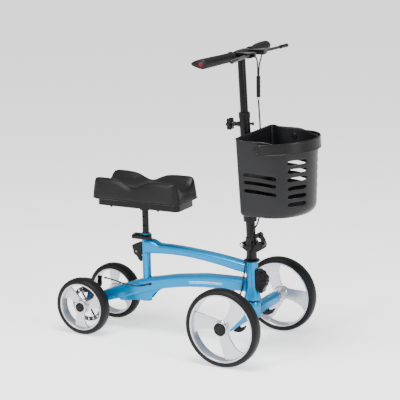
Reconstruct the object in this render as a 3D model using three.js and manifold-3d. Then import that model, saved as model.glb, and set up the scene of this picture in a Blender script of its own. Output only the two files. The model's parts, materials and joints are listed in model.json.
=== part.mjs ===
// A folding knee scooter: a blue bridge frame on four wheels, a padded knee rest on a telescopic
// post, a folding steering column with a swept handlebar and brake levers, and a lift-off basket.
// Millimetres. +X is forward, +Y is the rider's left, +Z is up, and the tyres stand on z = 0.

import * as THREE from 'three';
import { mergeVertices } from 'three/addons/utils/BufferGeometryUtils.js';
import Module from 'manifold-3d';

const wasm = await Module();
wasm.setup();

// ---------------------------------------------------------------- driving dimensions

const gap = 0.3;                                   // between pieces that touch or fit together
const steerX = 223;                                // steering axis
const seatX = steerX - 393;                        // seat tube axis
const rearAxleX = steerX - 585;
const front = { radius: 127, halfTrack: 206, hubInside: 20 };
const rear = { radius: 97, halfTrack: 103, hubInside: 29 };
const wheelSides = 24;                             // facets round a tyre, one of them flat on the ground
const tyreHalfWidth = 20.5;
const rimHalfWidth = 18;
const spindleRadius = 6;
const hubCap = { inner: -21.6, outer: -25 };       // along the axle, outboard is negative

const beamWall = 3;
const upperBeamHalf = 18;                          // half the width across the scooter
const lowerBeamHalf = 22;
const headTube = { bottom: 165, top: 292, radius: 19, foot: 28, bore: 15.3 };
const seatTube = { bottom: 113, top: 345, radius: 14.5, bore: 11.5 };
const steererRadius = 14;
const armZ = 124;                                  // middle of the front cross arms
const armEnd = 180;

const hingeZ = 345;                                // parting plane of the folding hinge
const foldPivot = { x: -27, z: hingeZ };           // relative to the steering axis
const lean = THREE.MathUtils.degToRad(2.33);       // the column leans back by this much
const columnRadius = 15.2;
const columnBore = 13.1;
const columnTop = 414;                             // along the column, from the hinge plane
const stemRadius = 12.7;
const barUp = 612.5;                               // handlebar centre along the column
const barRadius = 11.1;
const barStraight = 46;                            // half length of the bar's straight middle
const barEnd = { back: 21, side: 216 };
const sweep = Math.atan2(barEnd.back, barEnd.side - barStraight);

const postRadius = 11.1;
const postBottom = 135;
const postTop = 450;
const padBottom = 463;

const basketFloor = 466;
const basketRim = 711;
const basketWall = 2.6;
const handlePivot = { x: 97, z: 685 };             // relative to the steering axis

const cableRadius = 2.5;
const leverCableRadius = 2.2;

// ---------------------------------------------------------------- materials

function paint(color, roughness, metalness) {
  return new THREE.MeshStandardMaterial({ color, roughness, metalness });
}

const blue = paint(0x00a8ea, 0.3, 0.1);
const satinBlack = paint(0x17181a, 0.45, 0.4);
const plasticBlack = paint(0x1f2022, 0.6, 0);
const basketGrey = paint(0x3a3a3e, 0.7, 0);
const padBlack = paint(0x2b2b2d, 0.85, 0);
const rubber = paint(0x262628, 0.85, 0);
const rimGrey = paint(0xd4d4d8, 0.5, 0.1);
const steel = paint(0xb9babd, 0.3, 1);
const red = paint(0xb81f2a, 0.5, 0);

// ---------------------------------------------------------------- solids

// A closed geometry as a manifold solid with its faces pointing out.
function solid(geometry) {
  const bare = geometry.clone();
  bare.deleteAttribute('normal');
  bare.deleteAttribute('uv');
  const merged = mergeVertices(bare, 1e-4);
  const corners = merged.index.array;
  const triangles = [];
  for (let i = 0; i < corners.length; i += 3) {
    const [a, b, c] = [corners[i], corners[i + 1], corners[i + 2]];
    if (a !== b && b !== c && c !== a) triangles.push(a, b, c);
  }
  const vertProperties = Float32Array.from(merged.attributes.position.array);
  const make = (list) => new wasm.Manifold(
    new wasm.Mesh({ numProp: 3, vertProperties, triVerts: Uint32Array.from(list) }),
  );
  const made = make(triangles);
  return made.volume() > 0 ? made : make(triangles.reverse());
}

function join(first, ...others) {
  return others.reduce((sum, other) => sum.add(other), first);
}

function cut(first, ...others) {
  return others.reduce((rest, other) => rest.subtract(other), first);
}

function block(size, centre) {
  return solid(new THREE.BoxGeometry(...size).translate(...centre));
}

function roundness(radius) {
  if (radius < 5.6) return 10;
  return radius < 9 ? 12 : 18;
}

// A round bar between two points, or a cone when the end radius differs.
function rod(radius, from, to, { sides = roundness(radius), endRadius = radius } = {}) {
  const start = new THREE.Vector3(...from);
  const end = new THREE.Vector3(...to);
  const along = end.clone().sub(start);
  const geometry = new THREE.CylinderGeometry(endRadius, radius, along.length(), sides);
  const turn = new THREE.Quaternion().setFromUnitVectors(
    new THREE.Vector3(0, 1, 0), along.clone().normalize(),
  );
  geometry.applyQuaternion(turn).translate(...start.add(end).multiplyScalar(0.5));
  return solid(geometry);
}

// A profile of [radius, height] points turned about +Z.
function turned(profile, sides = 18) {
  const points = profile.map(([r, z]) => new THREE.Vector2(r, z));
  return solid(new THREE.LatheGeometry([...points, points[0]], sides).rotateX(Math.PI / 2));
}

// A profile of [radius, y] points turned about Y, with a flat facet at the bottom.
function turnedWheel(profile) {
  const flat = 1 / Math.cos(Math.PI / wheelSides);
  const points = profile.map(([r, y]) => new THREE.Vector2(r * flat, y));
  return solid(new THREE.LatheGeometry([...points, points[0]], wheelSides, Math.PI / wheelSides));
}

function shapeOf(outline) {
  return Array.isArray(outline) ? new THREE.Shape(outline.map((p) => new THREE.Vector2(...p))) : outline;
}

// An outline in the XZ plane, thickened along Y between two places, its edges rounded by a bevel.
function sidePlate(outline, yLow, yHigh, round = 0, bevelSegments = 1) {
  const geometry = new THREE.ExtrudeGeometry(shapeOf(outline), {
    depth: yHigh - yLow - 2 * round,
    bevelEnabled: round > 0,
    bevelThickness: round,
    bevelSize: round,
    bevelOffset: -round,
    bevelSegments,
    curveSegments: 5,
  });
  return solid(geometry.rotateX(Math.PI / 2).translate(0, yHigh - round, 0));
}

// An outline in the XY plane, thickened upwards from one height to another.
function planPlate(outline, zLow, zHigh, round = 0, bevelSegments = 1) {
  const geometry = new THREE.ExtrudeGeometry(shapeOf(outline), {
    depth: zHigh - zLow - 2 * round,
    bevelEnabled: round > 0,
    bevelThickness: round,
    bevelSize: round,
    bevelOffset: -round,
    bevelSegments,
    curveSegments: 5,
  });
  return solid(geometry.translate(0, 0, zLow + round));
}

function circle(radius, x = 0, y = 0) {
  const shape = new THREE.Shape();
  shape.absarc(x, y, radius, 0, 2 * Math.PI, false);
  return shape;
}

// A tube of round section along a smooth curve through the points.
function pipe(radius, points, steps, sides = 8) {
  const path = new THREE.CatmullRomCurve3(points.map((p) => new THREE.Vector3(...p)), false, 'centripetal');
  const section = new THREE.Shape();
  for (let i = 0; i < sides; i += 1) {
    const angle = (2 * Math.PI * i) / sides;
    const place = [radius * Math.cos(angle), radius * Math.sin(angle)];
    if (i === 0) section.moveTo(...place);
    else section.lineTo(...place);
  }
  return solid(new THREE.ExtrudeGeometry(section, { extrudePath: path, steps, bevelEnabled: false }));
}

// A closed solid through rings of points that all go the same way round.
function loft(rings) {
  const count = rings[0].length;
  const middle = (ring) => [0, 1, 2].map((k) => ring.reduce((sum, p) => sum + p[k], 0) / count);
  const points = [...rings.flat(), middle(rings[0]), middle(rings.at(-1))];
  const index = [];
  for (let k = 0; k + 1 < rings.length; k += 1) {
    for (let i = 0; i < count; i += 1) {
      const a = k * count + i;
      const b = k * count + ((i + 1) % count);
      index.push(a, b, b + count, a, b + count, a + count);
    }
  }
  const last = (rings.length - 1) * count;
  for (let i = 0; i < count; i += 1) {
    const next = (i + 1) % count;
    index.push(last + count, next, i, last + count + 1, last + i, last + next);
  }
  const geometry = new THREE.BufferGeometry();
  geometry.setAttribute('position', new THREE.Float32BufferAttribute(points.flat(), 3));
  geometry.setIndex(index);
  return solid(geometry);
}

const scooter = new THREE.Group();

function add(name, body, material, parent = scooter) {
  const made = body.getMesh();
  const geometry = new THREE.BufferGeometry();
  geometry.setAttribute('position', new THREE.BufferAttribute(Float32Array.from(made.vertProperties), 3));
  geometry.setIndex(new THREE.BufferAttribute(Uint32Array.from(made.triVerts), 1));
  const mesh = new THREE.Mesh(geometry, material);
  mesh.name = name;
  parent.add(mesh);
  return mesh;
}

function group(x, y, z, parent = scooter) {
  const made = new THREE.Group();
  made.position.set(x, y, z);
  parent.add(made);
  return made;
}

// ---------------------------------------------------------------- wheels

// The tyre sits in the rim's channel and bulges past its edges.
function tyre(radius) {
  return turnedWheel([
    [radius - 18.7, -13.2], [radius - 9, -tyreHalfWidth], [radius - 3, -17.5], [radius, -10],
    [radius, 10], [radius - 3, 17.5], [radius - 9, tyreHalfWidth], [radius - 18.7, 13.2],
  ]);
}

// One spoke blade: narrow at the hub and spreading to the rim, its edges swept round as they go out.
function spoke(radius, turn) {
  const reach = radius - 20;
  const lowEdge = [[0.2, -72], [0.31, -50], [0.46, -36], [0.72, -27], [1, -20]];
  const highEdge = [[1, 20], [0.77, 12], [0.51, 12], [0.36, 15], [0.2, 30]];
  const place = ([part, degrees]) => {
    const angle = THREE.MathUtils.degToRad(degrees + turn);
    return [part * reach * Math.cos(angle), part * reach * Math.sin(angle)];
  };
  return sidePlate([...lowEdge, ...highEdge].map(place), -8, 0);
}

// The first blade stands at `turn` degrees from forward, as seen from outboard.
function rim({ radius, hubInside }, turn) {
  const barrel = turnedWheel([
    [radius - 22, -rimHalfWidth], [radius - 15, -rimHalfWidth], [radius - 19, -14],
    [radius - 19, 14], [radius - 15, rimHalfWidth], [radius - 22, rimHalfWidth],
  ]);
  const hub = rod(22, [0, -21.3, 0], [0, 6, 0], { sides: 16 });
  const boss = rod(15, [0, 0, 0], [0, hubInside, 0], { sides: 12 });
  const blades = [0, 120, 240].map((step) => spoke(radius, turn + step));
  const body = join(barrel, hub, boss, ...blades);
  return cut(body, rod(spindleRadius + 0.4, [0, -30, 0], [0, hubInside + 5, 0]));
}

function cap(radius) {
  return rod(radius, [0, hubCap.outer, 0], [0, hubCap.inner, 0], { sides: 16 });
}

// A wheel is made with its outboard face towards -Y; a left wheel is the same wheel turned round.
function wheel(name, size, x, side, capRadius, turn) {
  const place = group(x, side * size.halfTrack, size.radius);
  if (side > 0) place.rotation.z = Math.PI;
  add(`${name}_tyre`, tyre(size.radius), rubber, place);
  add(`${name}_rim`, rim(size, turn), rimGrey, place);
  add(`${name}_hub_cap`, cap(capRadius), plasticBlack, place);
  return place;
}

wheel('front_right', front, steerX, -1, 21, 57);
wheel('front_left', front, steerX, 1, 21, 74);
const brakedWheel = wheel('rear_right', rear, rearAxleX, -1, 16, 27);
wheel('rear_left', rear, rearAxleX, 1, 16, 95);

// The brake disc sits against the inboard end of the right rear hub.
const rotor = { radius: 61, band: 47, inner: 29.3, outer: 31.3 };

function brakeRotor() {
  const ring = cut(
    rod(rotor.radius, [0, rotor.inner, 0], [0, rotor.outer, 0]),
    rod(rotor.band, [0, rotor.inner - 1, 0], [0, rotor.outer + 1, 0]),
  );
  const carrier = cut(
    rod(22, [0, rotor.inner, 0], [0, rotor.outer, 0]),
    rod(spindleRadius + 0.4, [0, rotor.inner - 1, 0], [0, rotor.outer + 1, 0]),
  );
  const middle = (rotor.inner + rotor.outer) / 2;
  const arms = [];
  const holes = [];
  for (let i = 0; i < 6; i += 1) {
    const angle = (i * Math.PI) / 3;
    const arm = new THREE.BoxGeometry(30, rotor.outer - rotor.inner, 7);
    arm.translate(34, middle, 0).rotateY(angle);
    arms.push(solid(arm));
  }
  for (let i = 0; i < 18; i += 1) {
    const angle = ((i + 0.5) * 2 * Math.PI) / 18;
    const [x, z] = [54 * Math.cos(angle), 54 * Math.sin(angle)];
    holes.push(rod(3.8, [x, rotor.inner - 1, z], [x, rotor.outer + 1, z], { sides: 5 }));
  }
  return cut(join(ring, carrier, ...arms), ...holes);
}

add('brake_rotor', brakeRotor(), steel, brakedWheel);

// ---------------------------------------------------------------- main frame

// A beam seen from the side, between a line of points along its top and one along its underside.
function beamShape(top, underside, inset = 0) {
  const soften = (points) => new THREE.SplineCurve(points.map(([x, z]) => new THREE.Vector2(x, z)));
  const upper = soften(top.map(([x, z]) => [x, z - inset])).getPoints(10);
  const lower = soften(underside.map(([x, z]) => [x, z + inset])).getPoints(10).reverse();
  return [...upper, ...lower].map((p) => [p.x + steerX, p.y]);
}

const upperTop = [[-392, 325], [-362, 325], [-342, 316], [-308, 315], [-251, 313], [-194, 309],
  [-137, 304], [-81, 297], [-12, 286]];
const upperUnderside = [[-392, 276], [-339, 281], [-281, 283], [-223, 281], [-166, 275],
  [-110, 267], [-54, 256], [-12, 250]];
const lowerTop = [[-590, 113], [-565, 127], [-520, 146], [-461, 169], [-430, 180], [-393, 191],
  [-341, 202], [-283, 214], [-225, 222], [-167, 229], [-111, 231], [-55, 232], [-14, 231]];
const lowerUnderside = [[-590, 82], [-560, 89], [-531, 99], [-461, 121], [-393, 143], [-343, 159],
  [-284, 172], [-226, 181], [-169, 186], [-112, 189], [-55, 190], [-14, 189]];

// A box-section beam with rounded edges, left solid behind a place along it.
function hollowBeam(top, underside, half, solidBehind) {
  const outer = sidePlate(beamShape(top, underside), -half, half, 11, 2);
  const cavity = sidePlate(
    beamShape(top, underside, beamWall), -half + beamWall, half - beamWall, 8,
  );
  const solidEnd = block([100, 100, 400], [steerX + solidBehind - 50, 0, 200]);
  return cut(outer, cut(cavity, solidEnd));
}

const axleZ = rear.radius;
const cableInlet = { x: -72 };
const cableExit = { at: [-370, -20.5, 176.5], towards: [-0.85, -0.5, -0.16] };

// A place along the straight line by which the brake cable leaves the lower beam.
function exitPoint(s) {
  return cableExit.at.map((value, k) => value + s * cableExit.towards[k]);
}

function mainFrame() {
  const upper = hollowBeam(upperTop, upperUnderside, upperBeamHalf, -380);
  const lower = hollowBeam(lowerTop, lowerUnderside, lowerBeamHalf, -575);
  const head = turned([
    [0, headTube.bottom], [headTube.foot, headTube.bottom], [headTube.foot, headTube.bottom + 4],
    [24, 186], [20.5, 205], [headTube.radius, 225], [headTube.radius, headTube.top], [0, headTube.top],
  ]).translate(steerX, 0, 0);
  const seat = rod(seatTube.radius, [seatX, 0, seatTube.bottom], [seatX, 0, seatTube.top]);
  const lip = rod(seatTube.radius + 1.2, [seatX, 0, seatTube.top - 4], [seatX, 0, seatTube.top]);
  const gusset = sidePlate([
    [-505, 112], [-490, 103], [-464, 106], [-440, 112], [-409, 113], [-400, 111], [-378, 121],
    [-357, 146], [-338, 154], [-338, 172], [-505, 125],
  ].map(([x, z]) => [x + steerX, z]), -15, 15, 3);
  const axleTube = rod(16, [rearAxleX, -64, axleZ], [rearAxleX, 66, axleZ]);
  const caliperLug = sidePlate([
    [-602, 104], [-588, 148], [-560, 152], [-548, 132], [-562, 104],
  ].map(([x, z]) => [x + steerX, z]), -62, -56);
  const lugTie = block([26, 38, 12], [steerX - 560, -40, 118]);
  const body = join(upper, lower, head, seat, lip, gusset, axleTube, caliperLug, lugTie);

  const headBore = rod(headTube.bore, [steerX, 0, 160], [steerX, 0, 300]);
  const upperSeat = rod(17, [steerX, 0, headTube.top - 8], [steerX, 0, headTube.top + 5]);
  const lowerSeat = rod(19, [steerX, 0, headTube.bottom - 5], [steerX, 0, headTube.bottom + 9]);
  const seatBore = rod(seatTube.bore, [seatX, 0, 100], [seatX, 0, 360]);
  const axleBore = rod(spindleRadius + gap, [rearAxleX, -80, axleZ], [rearAxleX, 80, axleZ]);
  const vent = rod(4, [steerX - 60, 0, 268], [steerX - 5, 0, 268]);
  const inlet = rod(5.3, [steerX + cableInlet.x, 0, 175], [steerX + cableInlet.x, 0, 200]);
  const outlet = rod(5.3, exitPoint(-16), exitPoint(16)).translate(steerX, 0, 0);
  return cut(body, headBore, upperSeat, lowerSeat, seatBore, axleBore, vent, inlet, outlet);
}

add('main_frame', mainFrame(), blue);

// The bearings sit in the head tube's two counterbores; their covers show as black rings.
add('upper_head_bearing', turned([
  [steererRadius + gap, headTube.top - 7.5], [17 - gap, headTube.top - 7.5],
  [17 - gap, headTube.top + gap], [26.5, headTube.top + gap], [26.5, headTube.top + 4],
  [20, headTube.top + 8], [steererRadius + gap, headTube.top + 8],
]).translate(steerX, 0, 0), plasticBlack);
add('lower_head_bearing', turned([
  [steererRadius + gap, 158.4], [23.5, 158.4],
  [24.5, headTube.bottom - gap], [19 - gap, headTube.bottom - gap],
  [19 - gap, headTube.bottom + 8], [steererRadius + gap, headTube.bottom + 8],
]).translate(steerX, 0, 0), plasticBlack);

// The rear axle is one bar through the frame's cross tube, with a shoulder nut inboard of each wheel.
function rearAxle() {
  const bar = rod(spindleRadius, [rearAxleX, -122, axleZ], [rearAxleX, 122, axleZ]);
  const nut = rod(10, [rearAxleX, 66.5, axleZ], [rearAxleX, 73.5, axleZ], { sides: 6 });
  const washer = rod(9, [rearAxleX, -71, axleZ], [rearAxleX, -64.4, axleZ]);
  return join(bar, nut, washer);
}

add('rear_axle', rearAxle(), steel);

// A black moulded block bolted to the front of the head tube.
function headBlock() {
  const outline = new THREE.Shape();
  outline.moveTo(14, 262);
  outline.quadraticCurveTo(24, 272, 36, 264);
  outline.quadraticCurveTo(46, 260, 47, 252);
  outline.quadraticCurveTo(59, 244, 56, 226);
  outline.quadraticCurveTo(52, 212, 45, 206);
  outline.lineTo(42, 194);
  outline.quadraticCurveTo(36, 186, 27, 193);
  outline.lineTo(14, 208);
  const body = sidePlate(outline, -13, 15, 3);
  const clear = turned([
    [0, 150], [28 + gap, 165], [24 + gap, 186], [20.5 + gap, 205], [headTube.radius + gap, 225],
    [headTube.radius + gap, 292], [0, 292],
  ]);
  const ribs = [234, 222, 210].map((z) => block([14, 40, 3], [57, 0, z]));
  return cut(body, clear, ...ribs).translate(steerX, 0, 0);
}

add('head_block', headBlock(), plasticBlack);

// ---------------------------------------------------------------- seat clamp and seat lock

const clamp = { z: 333.3, half: 7.5, outer: 20, slot: 3, boltX: -37 };

function seatCollar() {
  const ring = rod(clamp.outer, [0, 0, clamp.z - clamp.half], [0, 0, clamp.z + clamp.half]);
  const ears = block([29, 17, 2 * clamp.half], [clamp.boltX + 6.5, 0, clamp.z]);
  const bore = rod(seatTube.radius + gap, [0, 0, clamp.z - 20], [0, 0, clamp.z + 20]);
  const split = block([34, clamp.slot, 40], [-32, 0, clamp.z]);
  const boltHole = rod(3.4, [clamp.boltX, -20, clamp.z], [clamp.boltX, 20, clamp.z]);
  return cut(join(ring, ears), bore, split, boltHole).translate(seatX, 0, 0);
}

add('seat_collar', seatCollar(), satinBlack);

const cam = { x: clamp.boltX, y: -15.2 };

// The clamp bolt: a domed nut on the left ear, and a cross pin for the cam lever at its right end.
function collarBolt() {
  const { x, y } = cam;
  const bar = rod(3, [x, y - 2.2, clamp.z], [x, 12, clamp.z]);
  const nut = rod(6, [x, 8.9, clamp.z], [x, 14, clamp.z], { sides: 6 });
  const dome = rod(5.4, [x, 13.9, clamp.z], [x, 17.5, clamp.z], { endRadius: 2.5 });
  const crossPin = rod(2.2, [x, y, clamp.z - 7.2], [x, y, clamp.z + 7.2]);
  return join(bar, nut, dome, crossPin).translate(seatX, 0, 0);
}

add('seat_collar_bolt', collarBolt(), steel);

// The cam lever's two cheeks turn on the cross pin; closed, it lies forward along the collar.
function collarLever() {
  const { x, y } = cam;
  const cheek = (z) => rod(6.5, [x, y, z], [x, y, z + 3.4]);
  const arm = sidePlate([
    [x - 4, clamp.z - 5.5], [-6, clamp.z - 6], [29, clamp.z - 4], [36, clamp.z],
    [35, clamp.z + 5], [-6, clamp.z + 6], [x - 4, clamp.z + 5.5],
  ], -26, -20.6, 1.2);
  const hole = rod(2.5, [x, y, clamp.z - 20], [x, y, clamp.z + 20]);
  return cut(join(arm, cheek(clamp.z + 3.5), cheek(clamp.z - 6.9)), hole).translate(seatX, 0, 0);
}

add('seat_collar_lever', collarLever(), satinBlack);

// A sprung lock lever hangs in a bracket behind the seat tube.
const lock = { x: -32, z: 281, half: 5 };

function lockBracket() {
  const cheek = [[-13, 312], [-28, 311], [-51, 300], [-50, 294], [-44, 270], [-34, 264], [-13, 270]];
  const shell = sidePlate(cheek, -10, 10, 1.5);
  const hollow = block([60, 2 * lock.half + 2 * gap + 0.6, 60], [-34, 0, 268]);
  const pinHole = rod(2.8, [lock.x, -20, lock.z], [lock.x, 20, lock.z]);
  const tube = rod(seatTube.radius + gap, [0, 0, 200], [0, 0, 330]);
  return cut(shell, hollow, pinHole, tube).translate(seatX, 0, 0);
}

add('seat_lock_bracket', lockBracket(), plasticBlack);

function lockPin() {
  const bar = rod(2.4, [lock.x, -10.5, lock.z], [lock.x, 10.5, lock.z]);
  const head = rod(5, [lock.x, -13.5, lock.z], [lock.x, -10.4, lock.z]);
  return join(bar, head).translate(seatX, 0, 0);
}

add('seat_lock_pin', lockPin(), steel);

function lockLever() {
  const outline = [[-24, 290], [-38, 291], [-42, 280], [-40, 268], [-29, 250], [-21, 244],
    [-17, 248], [-19, 262], [-24, 274]];
  const body = sidePlate(outline, -lock.half, lock.half, 1);
  const hole = rod(2.8, [lock.x, -20, lock.z], [lock.x, 20, lock.z]);
  return cut(body, hole).translate(seatX, 0, 0);
}

add('seat_lock_lever', lockLever(), plasticBlack);

// ---------------------------------------------------------------- seat post and knee pad

function seatPost() {
  const tube = rod(postRadius, [0, 0, postBottom], [0, 0, postTop]);
  const bore = rod(postRadius - 1.8, [0, 0, postBottom - 5], [0, 0, postTop - 6]);
  const holes = [];
  for (let z = 222; z <= 402; z += 30) holes.push(rod(3, [0, -20, z], [0, 20, z], { sides: 6 }));
  return cut(tube, bore, ...holes).translate(seatX, 0, 0);
}

add('seat_post', seatPost(), satinBlack);

const tray = { back: -152, front: 156, half: 56, low: 440, high: padBottom - gap };

function roundedPlan(back, frontEnd, half, corner) {
  const shape = new THREE.Shape();
  shape.moveTo(back + corner, -half);
  shape.lineTo(frontEnd - corner, -half);
  shape.absarc(frontEnd - corner, -half + corner, corner, -Math.PI / 2, 0, false);
  shape.lineTo(frontEnd, half - corner);
  shape.absarc(frontEnd - corner, half - corner, corner, 0, Math.PI / 2, false);
  shape.lineTo(back + corner, half);
  shape.absarc(back + corner, half - corner, corner, Math.PI / 2, Math.PI, false);
  shape.lineTo(back, -half + corner);
  shape.absarc(back + corner, -half + corner, corner, Math.PI, Math.PI * 1.5, false);
  return shape;
}

// A tray under the pad: a flat top with a deep skirt, and a socket that holds the post.
function padTray() {
  const outer = planPlate(roundedPlan(tray.back, tray.front, tray.half, 16), tray.low, tray.high);
  const inside = planPlate(
    roundedPlan(tray.back + 3, tray.front - 3, tray.half - 3, 13), tray.low - 9, tray.high - 4,
  );
  const socket = rod(17, [0, 0, 424], [0, 0, tray.high - 2]);
  const ribs = block([tray.front - tray.back - 8, 4, 12], [2, 0, tray.high - 9]);
  const bore = rod(postRadius + gap, [0, 0, 400], [0, 0, postTop + gap]);
  return cut(join(cut(outer, inside), socket, ribs), bore).translate(seatX, 0, 0);
}

add('pad_tray', padTray(), plasticBlack);

// The pad is a lengthwise channel; the wall on each side of it dips in a short valley near mid-length.
const pad = { halfLong: 168, half: 77, corner: 26, channel: 507, wall: 538, shift: 1 };
const valley = { at: -8, width: 43, depth: 22 };

function padHeight(x, y) {
  const wall = pad.wall - valley.depth * Math.exp(-(((x - valley.at) / valley.width) ** 2));
  return pad.channel + (wall - pad.channel) * Math.min(1, Math.abs(y) / 58) ** 2.5;
}

// Points round the pad's plan, drawn in from its edge; `full` is the part of the height reached there.
function padRing([inset, full]) {
  const corner = Math.max(pad.corner - inset, 4);
  const reachX = pad.halfLong - 1.9 * inset - corner;
  const reachY = pad.half - inset - corner;
  const bend = (signX, signY, quarter) => [0, 1, 2, 3].map((k) => {
    const angle = (quarter + k / 3) * (Math.PI / 2);
    return [signX * reachX + corner * Math.cos(angle), signY * reachY + corner * Math.sin(angle)];
  });
  const corners = [bend(1, 1, 0), bend(-1, 1, 1), bend(-1, -1, 2), bend(1, -1, 3)];
  const ring = [];
  corners.forEach((arc, k) => {
    const from = arc.at(-1);
    const to = corners[(k + 1) % 4][0];
    const steps = k % 2 === 0 ? 14 : 4;
    ring.push(...arc);
    for (let i = 1; i < steps; i += 1) {
      ring.push([from[0] + ((to[0] - from[0]) * i) / steps, from[1] + ((to[1] - from[1]) * i) / steps]);
    }
  });
  return ring.map(([x, y]) => [x + pad.shift, y, padBottom + full * (padHeight(x, y) - padBottom)]);
}

add('knee_pad', loft([
  [2, 0], [0, 0.08], [1.6, 0.5], [3.6, 0.83], [5.6, 0.94], [10, 0.995], [22, 1], [36, 1], [52, 1], [68, 1],
].map(padRing)).translate(seatX, 0, 0), padBlack);

// ---------------------------------------------------------------- front fork

// The cross member carries the steering tube in its middle boss and a wheel spindle at each end.
function crossmember() {
  const half = 17;
  const plan = new THREE.Shape();
  plan.absarc(0, armEnd - half, half, 0, Math.PI, false);
  plan.absarc(0, half - armEnd, half, Math.PI, 2 * Math.PI, false);
  const arms = planPlate(plan, armZ - 19, armZ + 19, 8);
  const boss = turned([
    [0, armZ - 19], [24, armZ - 19], [26, armZ - 16], [26, 154], [24, 158], [0, 158],
  ]);
  const spindle = (side) => rod(
    spindleRadius, [0, side * 160, front.radius], [0, side * 226, front.radius],
  );
  const shoulder = (side) => rod(
    10, [0, side * 170, front.radius], [0, side * 185.5, front.radius],
  );
  const body = join(arms, boss, spindle(1), spindle(-1), shoulder(1), shoulder(-1));
  const hollow = rod(13, [0, 30 - armEnd, armZ], [0, armEnd - 30, armZ], { sides: 8 });
  const bore = rod(steererRadius + gap, [0, 0, 90], [0, 0, 170]);
  return cut(body, hollow, bore).translate(steerX, 0, 0);
}

add('front_crossmember', crossmember(), blue);

add('steerer_tube', cut(
  rod(steererRadius, [steerX, 0, 108], [steerX, 0, 322]),
  rod(steererRadius - 2.5, [steerX, 0, 100], [steerX, 0, 330]),
), steel);

// A two-winged lever on a short stem under each arm.
function armLever(side) {
  const wings = sidePlate([
    [-33, 110], [-29, 114], [-22, 103], [-8, 99], [8, 99], [18, 102], [25, 107], [28, 103], [21, 91],
    [9, 84], [-9, 83], [-25, 92],
  ], side * 103 - 7, side * 103 + 7, 1.5);
  const stem = rod(8, [0, side * 103, 95], [0, side * 103, armZ - 19 - gap]);
  return join(wings, stem).translate(steerX, 0, 0);
}

add('right_arm_lever', armLever(-1), plasticBlack);
add('left_arm_lever', armLever(1), plasticBlack);

// ---------------------------------------------------------------- folding hinge

const latchPivot = { x: 40, z: 350 };

function hingeLower() {
  const neck = rod(17, [0, 0, headTube.top + 8.5], [0, 0, 328]);
  const body = block([32, 30, 18], [4, 0, 335]);
  const rearEar = (side) => {
    const [low, high] = side > 0 ? [9, 15] : [-15, -9];
    const arm = sidePlate([[-34, 339], [-27, 335.5], [-12, 326], [0, 326], [0, 344], [-30, 344]], low, high);
    return join(arm, rod(9, [foldPivot.x, low, foldPivot.z], [foldPivot.x, high, foldPivot.z]));
  };
  const frontEar = (side) => {
    const [low, high] = side > 0 ? [9, 15] : [-15, -9];
    return sidePlate([
      [16, 328], [30, 328], [44, 338], [48, 346], [47, 354], [40, 358], [32, 356], [24, 346], [18, 344],
    ], low, high);
  };
  const solidBody = join(neck, body, rearEar(1), rearEar(-1), frontEar(1), frontEar(-1));
  const steererBore = rod(steererRadius + gap, [0, 0, 290], [0, 0, 322.3]);
  const pinBore = rod(4 + gap, [foldPivot.x, -20, foldPivot.z], [foldPivot.x, 20, foldPivot.z]);
  const latchBore = rod(3 + gap, [latchPivot.x, -20, latchPivot.z], [latchPivot.x, 20, latchPivot.z]);
  return cut(solidBody, steererBore, pinBore, latchBore).translate(steerX, 0, 0);
}

add('hinge_lower_block', hingeLower(), satinBlack);

// The fold pin has a wide head on its left and a domed nut on its right.
add('hinge_pin', join(
  rod(4, [foldPivot.x, -18, hingeZ], [foldPivot.x, 18, hingeZ]),
  rod(6.5, [foldPivot.x, 15.4, hingeZ], [foldPivot.x, 18.4, hingeZ]),
  rod(6.5, [foldPivot.x, -18.4, hingeZ], [foldPivot.x, -15.4, hingeZ], { sides: 6 }),
  rod(5.5, [foldPivot.x, -18.3, hingeZ], [foldPivot.x, -21.5, hingeZ], { endRadius: 2.5 }),
).translate(steerX, 0, 0), steel);

// The latch lever turns on its own stub axles between the front ears and ends in a cross bar.
function foldLever() {
  const arm = sidePlate([
    [33, 344], [40, 341], [48, 346], [50, 356], [46, 368], [40, 376], [39, 385], [30, 385], [22, 380],
    [27, 373], [34, 370], [37, 363], [32, 352],
  ], -8.6, 8.6, 1);
  const axles = rod(3, [latchPivot.x, -15, latchPivot.z], [latchPivot.x, 15, latchPivot.z]);
  const bar = rod(7.5, [27.5, -14, 380.5], [27.5, 14, 380.5]);
  return join(arm, axles, bar).translate(steerX, 0, 0);
}

add('fold_lever', foldLever(), plasticBlack);

// ---------------------------------------------------------------- column

// Inside this group z runs along the column from the hinge plane.
const column = group(steerX, 0, hingeZ);
column.rotation.y = -lean;

function hingeUpper() {
  const pivot = { x: foldPivot.x * Math.cos(lean), z: -foldPivot.x * Math.sin(lean) };
  const body = sidePlate([[-13, 0.4], [18, 0.4], [18, 10], [14, 18], [-14, 18], [-14, 8]], -15, 15, 0.8);
  const socket = rod(18.2, [0, 0, 8], [0, 0, 27]);
  const nose = block([16, 16, 9], [22, 0, 6]);
  const lug = rod(8.5, [pivot.x, -8.7, pivot.z], [pivot.x, 8.7, pivot.z]);
  const link = sidePlate([[pivot.x, pivot.z + 8.4], [-10, 14], [-10, 0.8], [pivot.x, 0.8]], -8.7, 8.7);
  const bore = rod(columnRadius + gap, [0, 0, 6], [0, 0, 40]);
  const pinBore = rod(4 + gap, [pivot.x, -20, pivot.z], [pivot.x, 20, pivot.z]);
  return cut(join(body, socket, nose, lug, link), bore, pinBore);
}

add('hinge_upper_block', hingeUpper(), satinBlack, column);

add('column_tube', cut(
  rod(columnRadius, [0, 0, 6.3], [0, 0, columnTop]),
  rod(columnBore, [0, 0, 0], [0, 0, columnTop + 5]),
), satinBlack, column);

// The clamp at the top of the column: a sleeve with a threaded boss behind and a stub in front.
const knobUp = 392;

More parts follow.
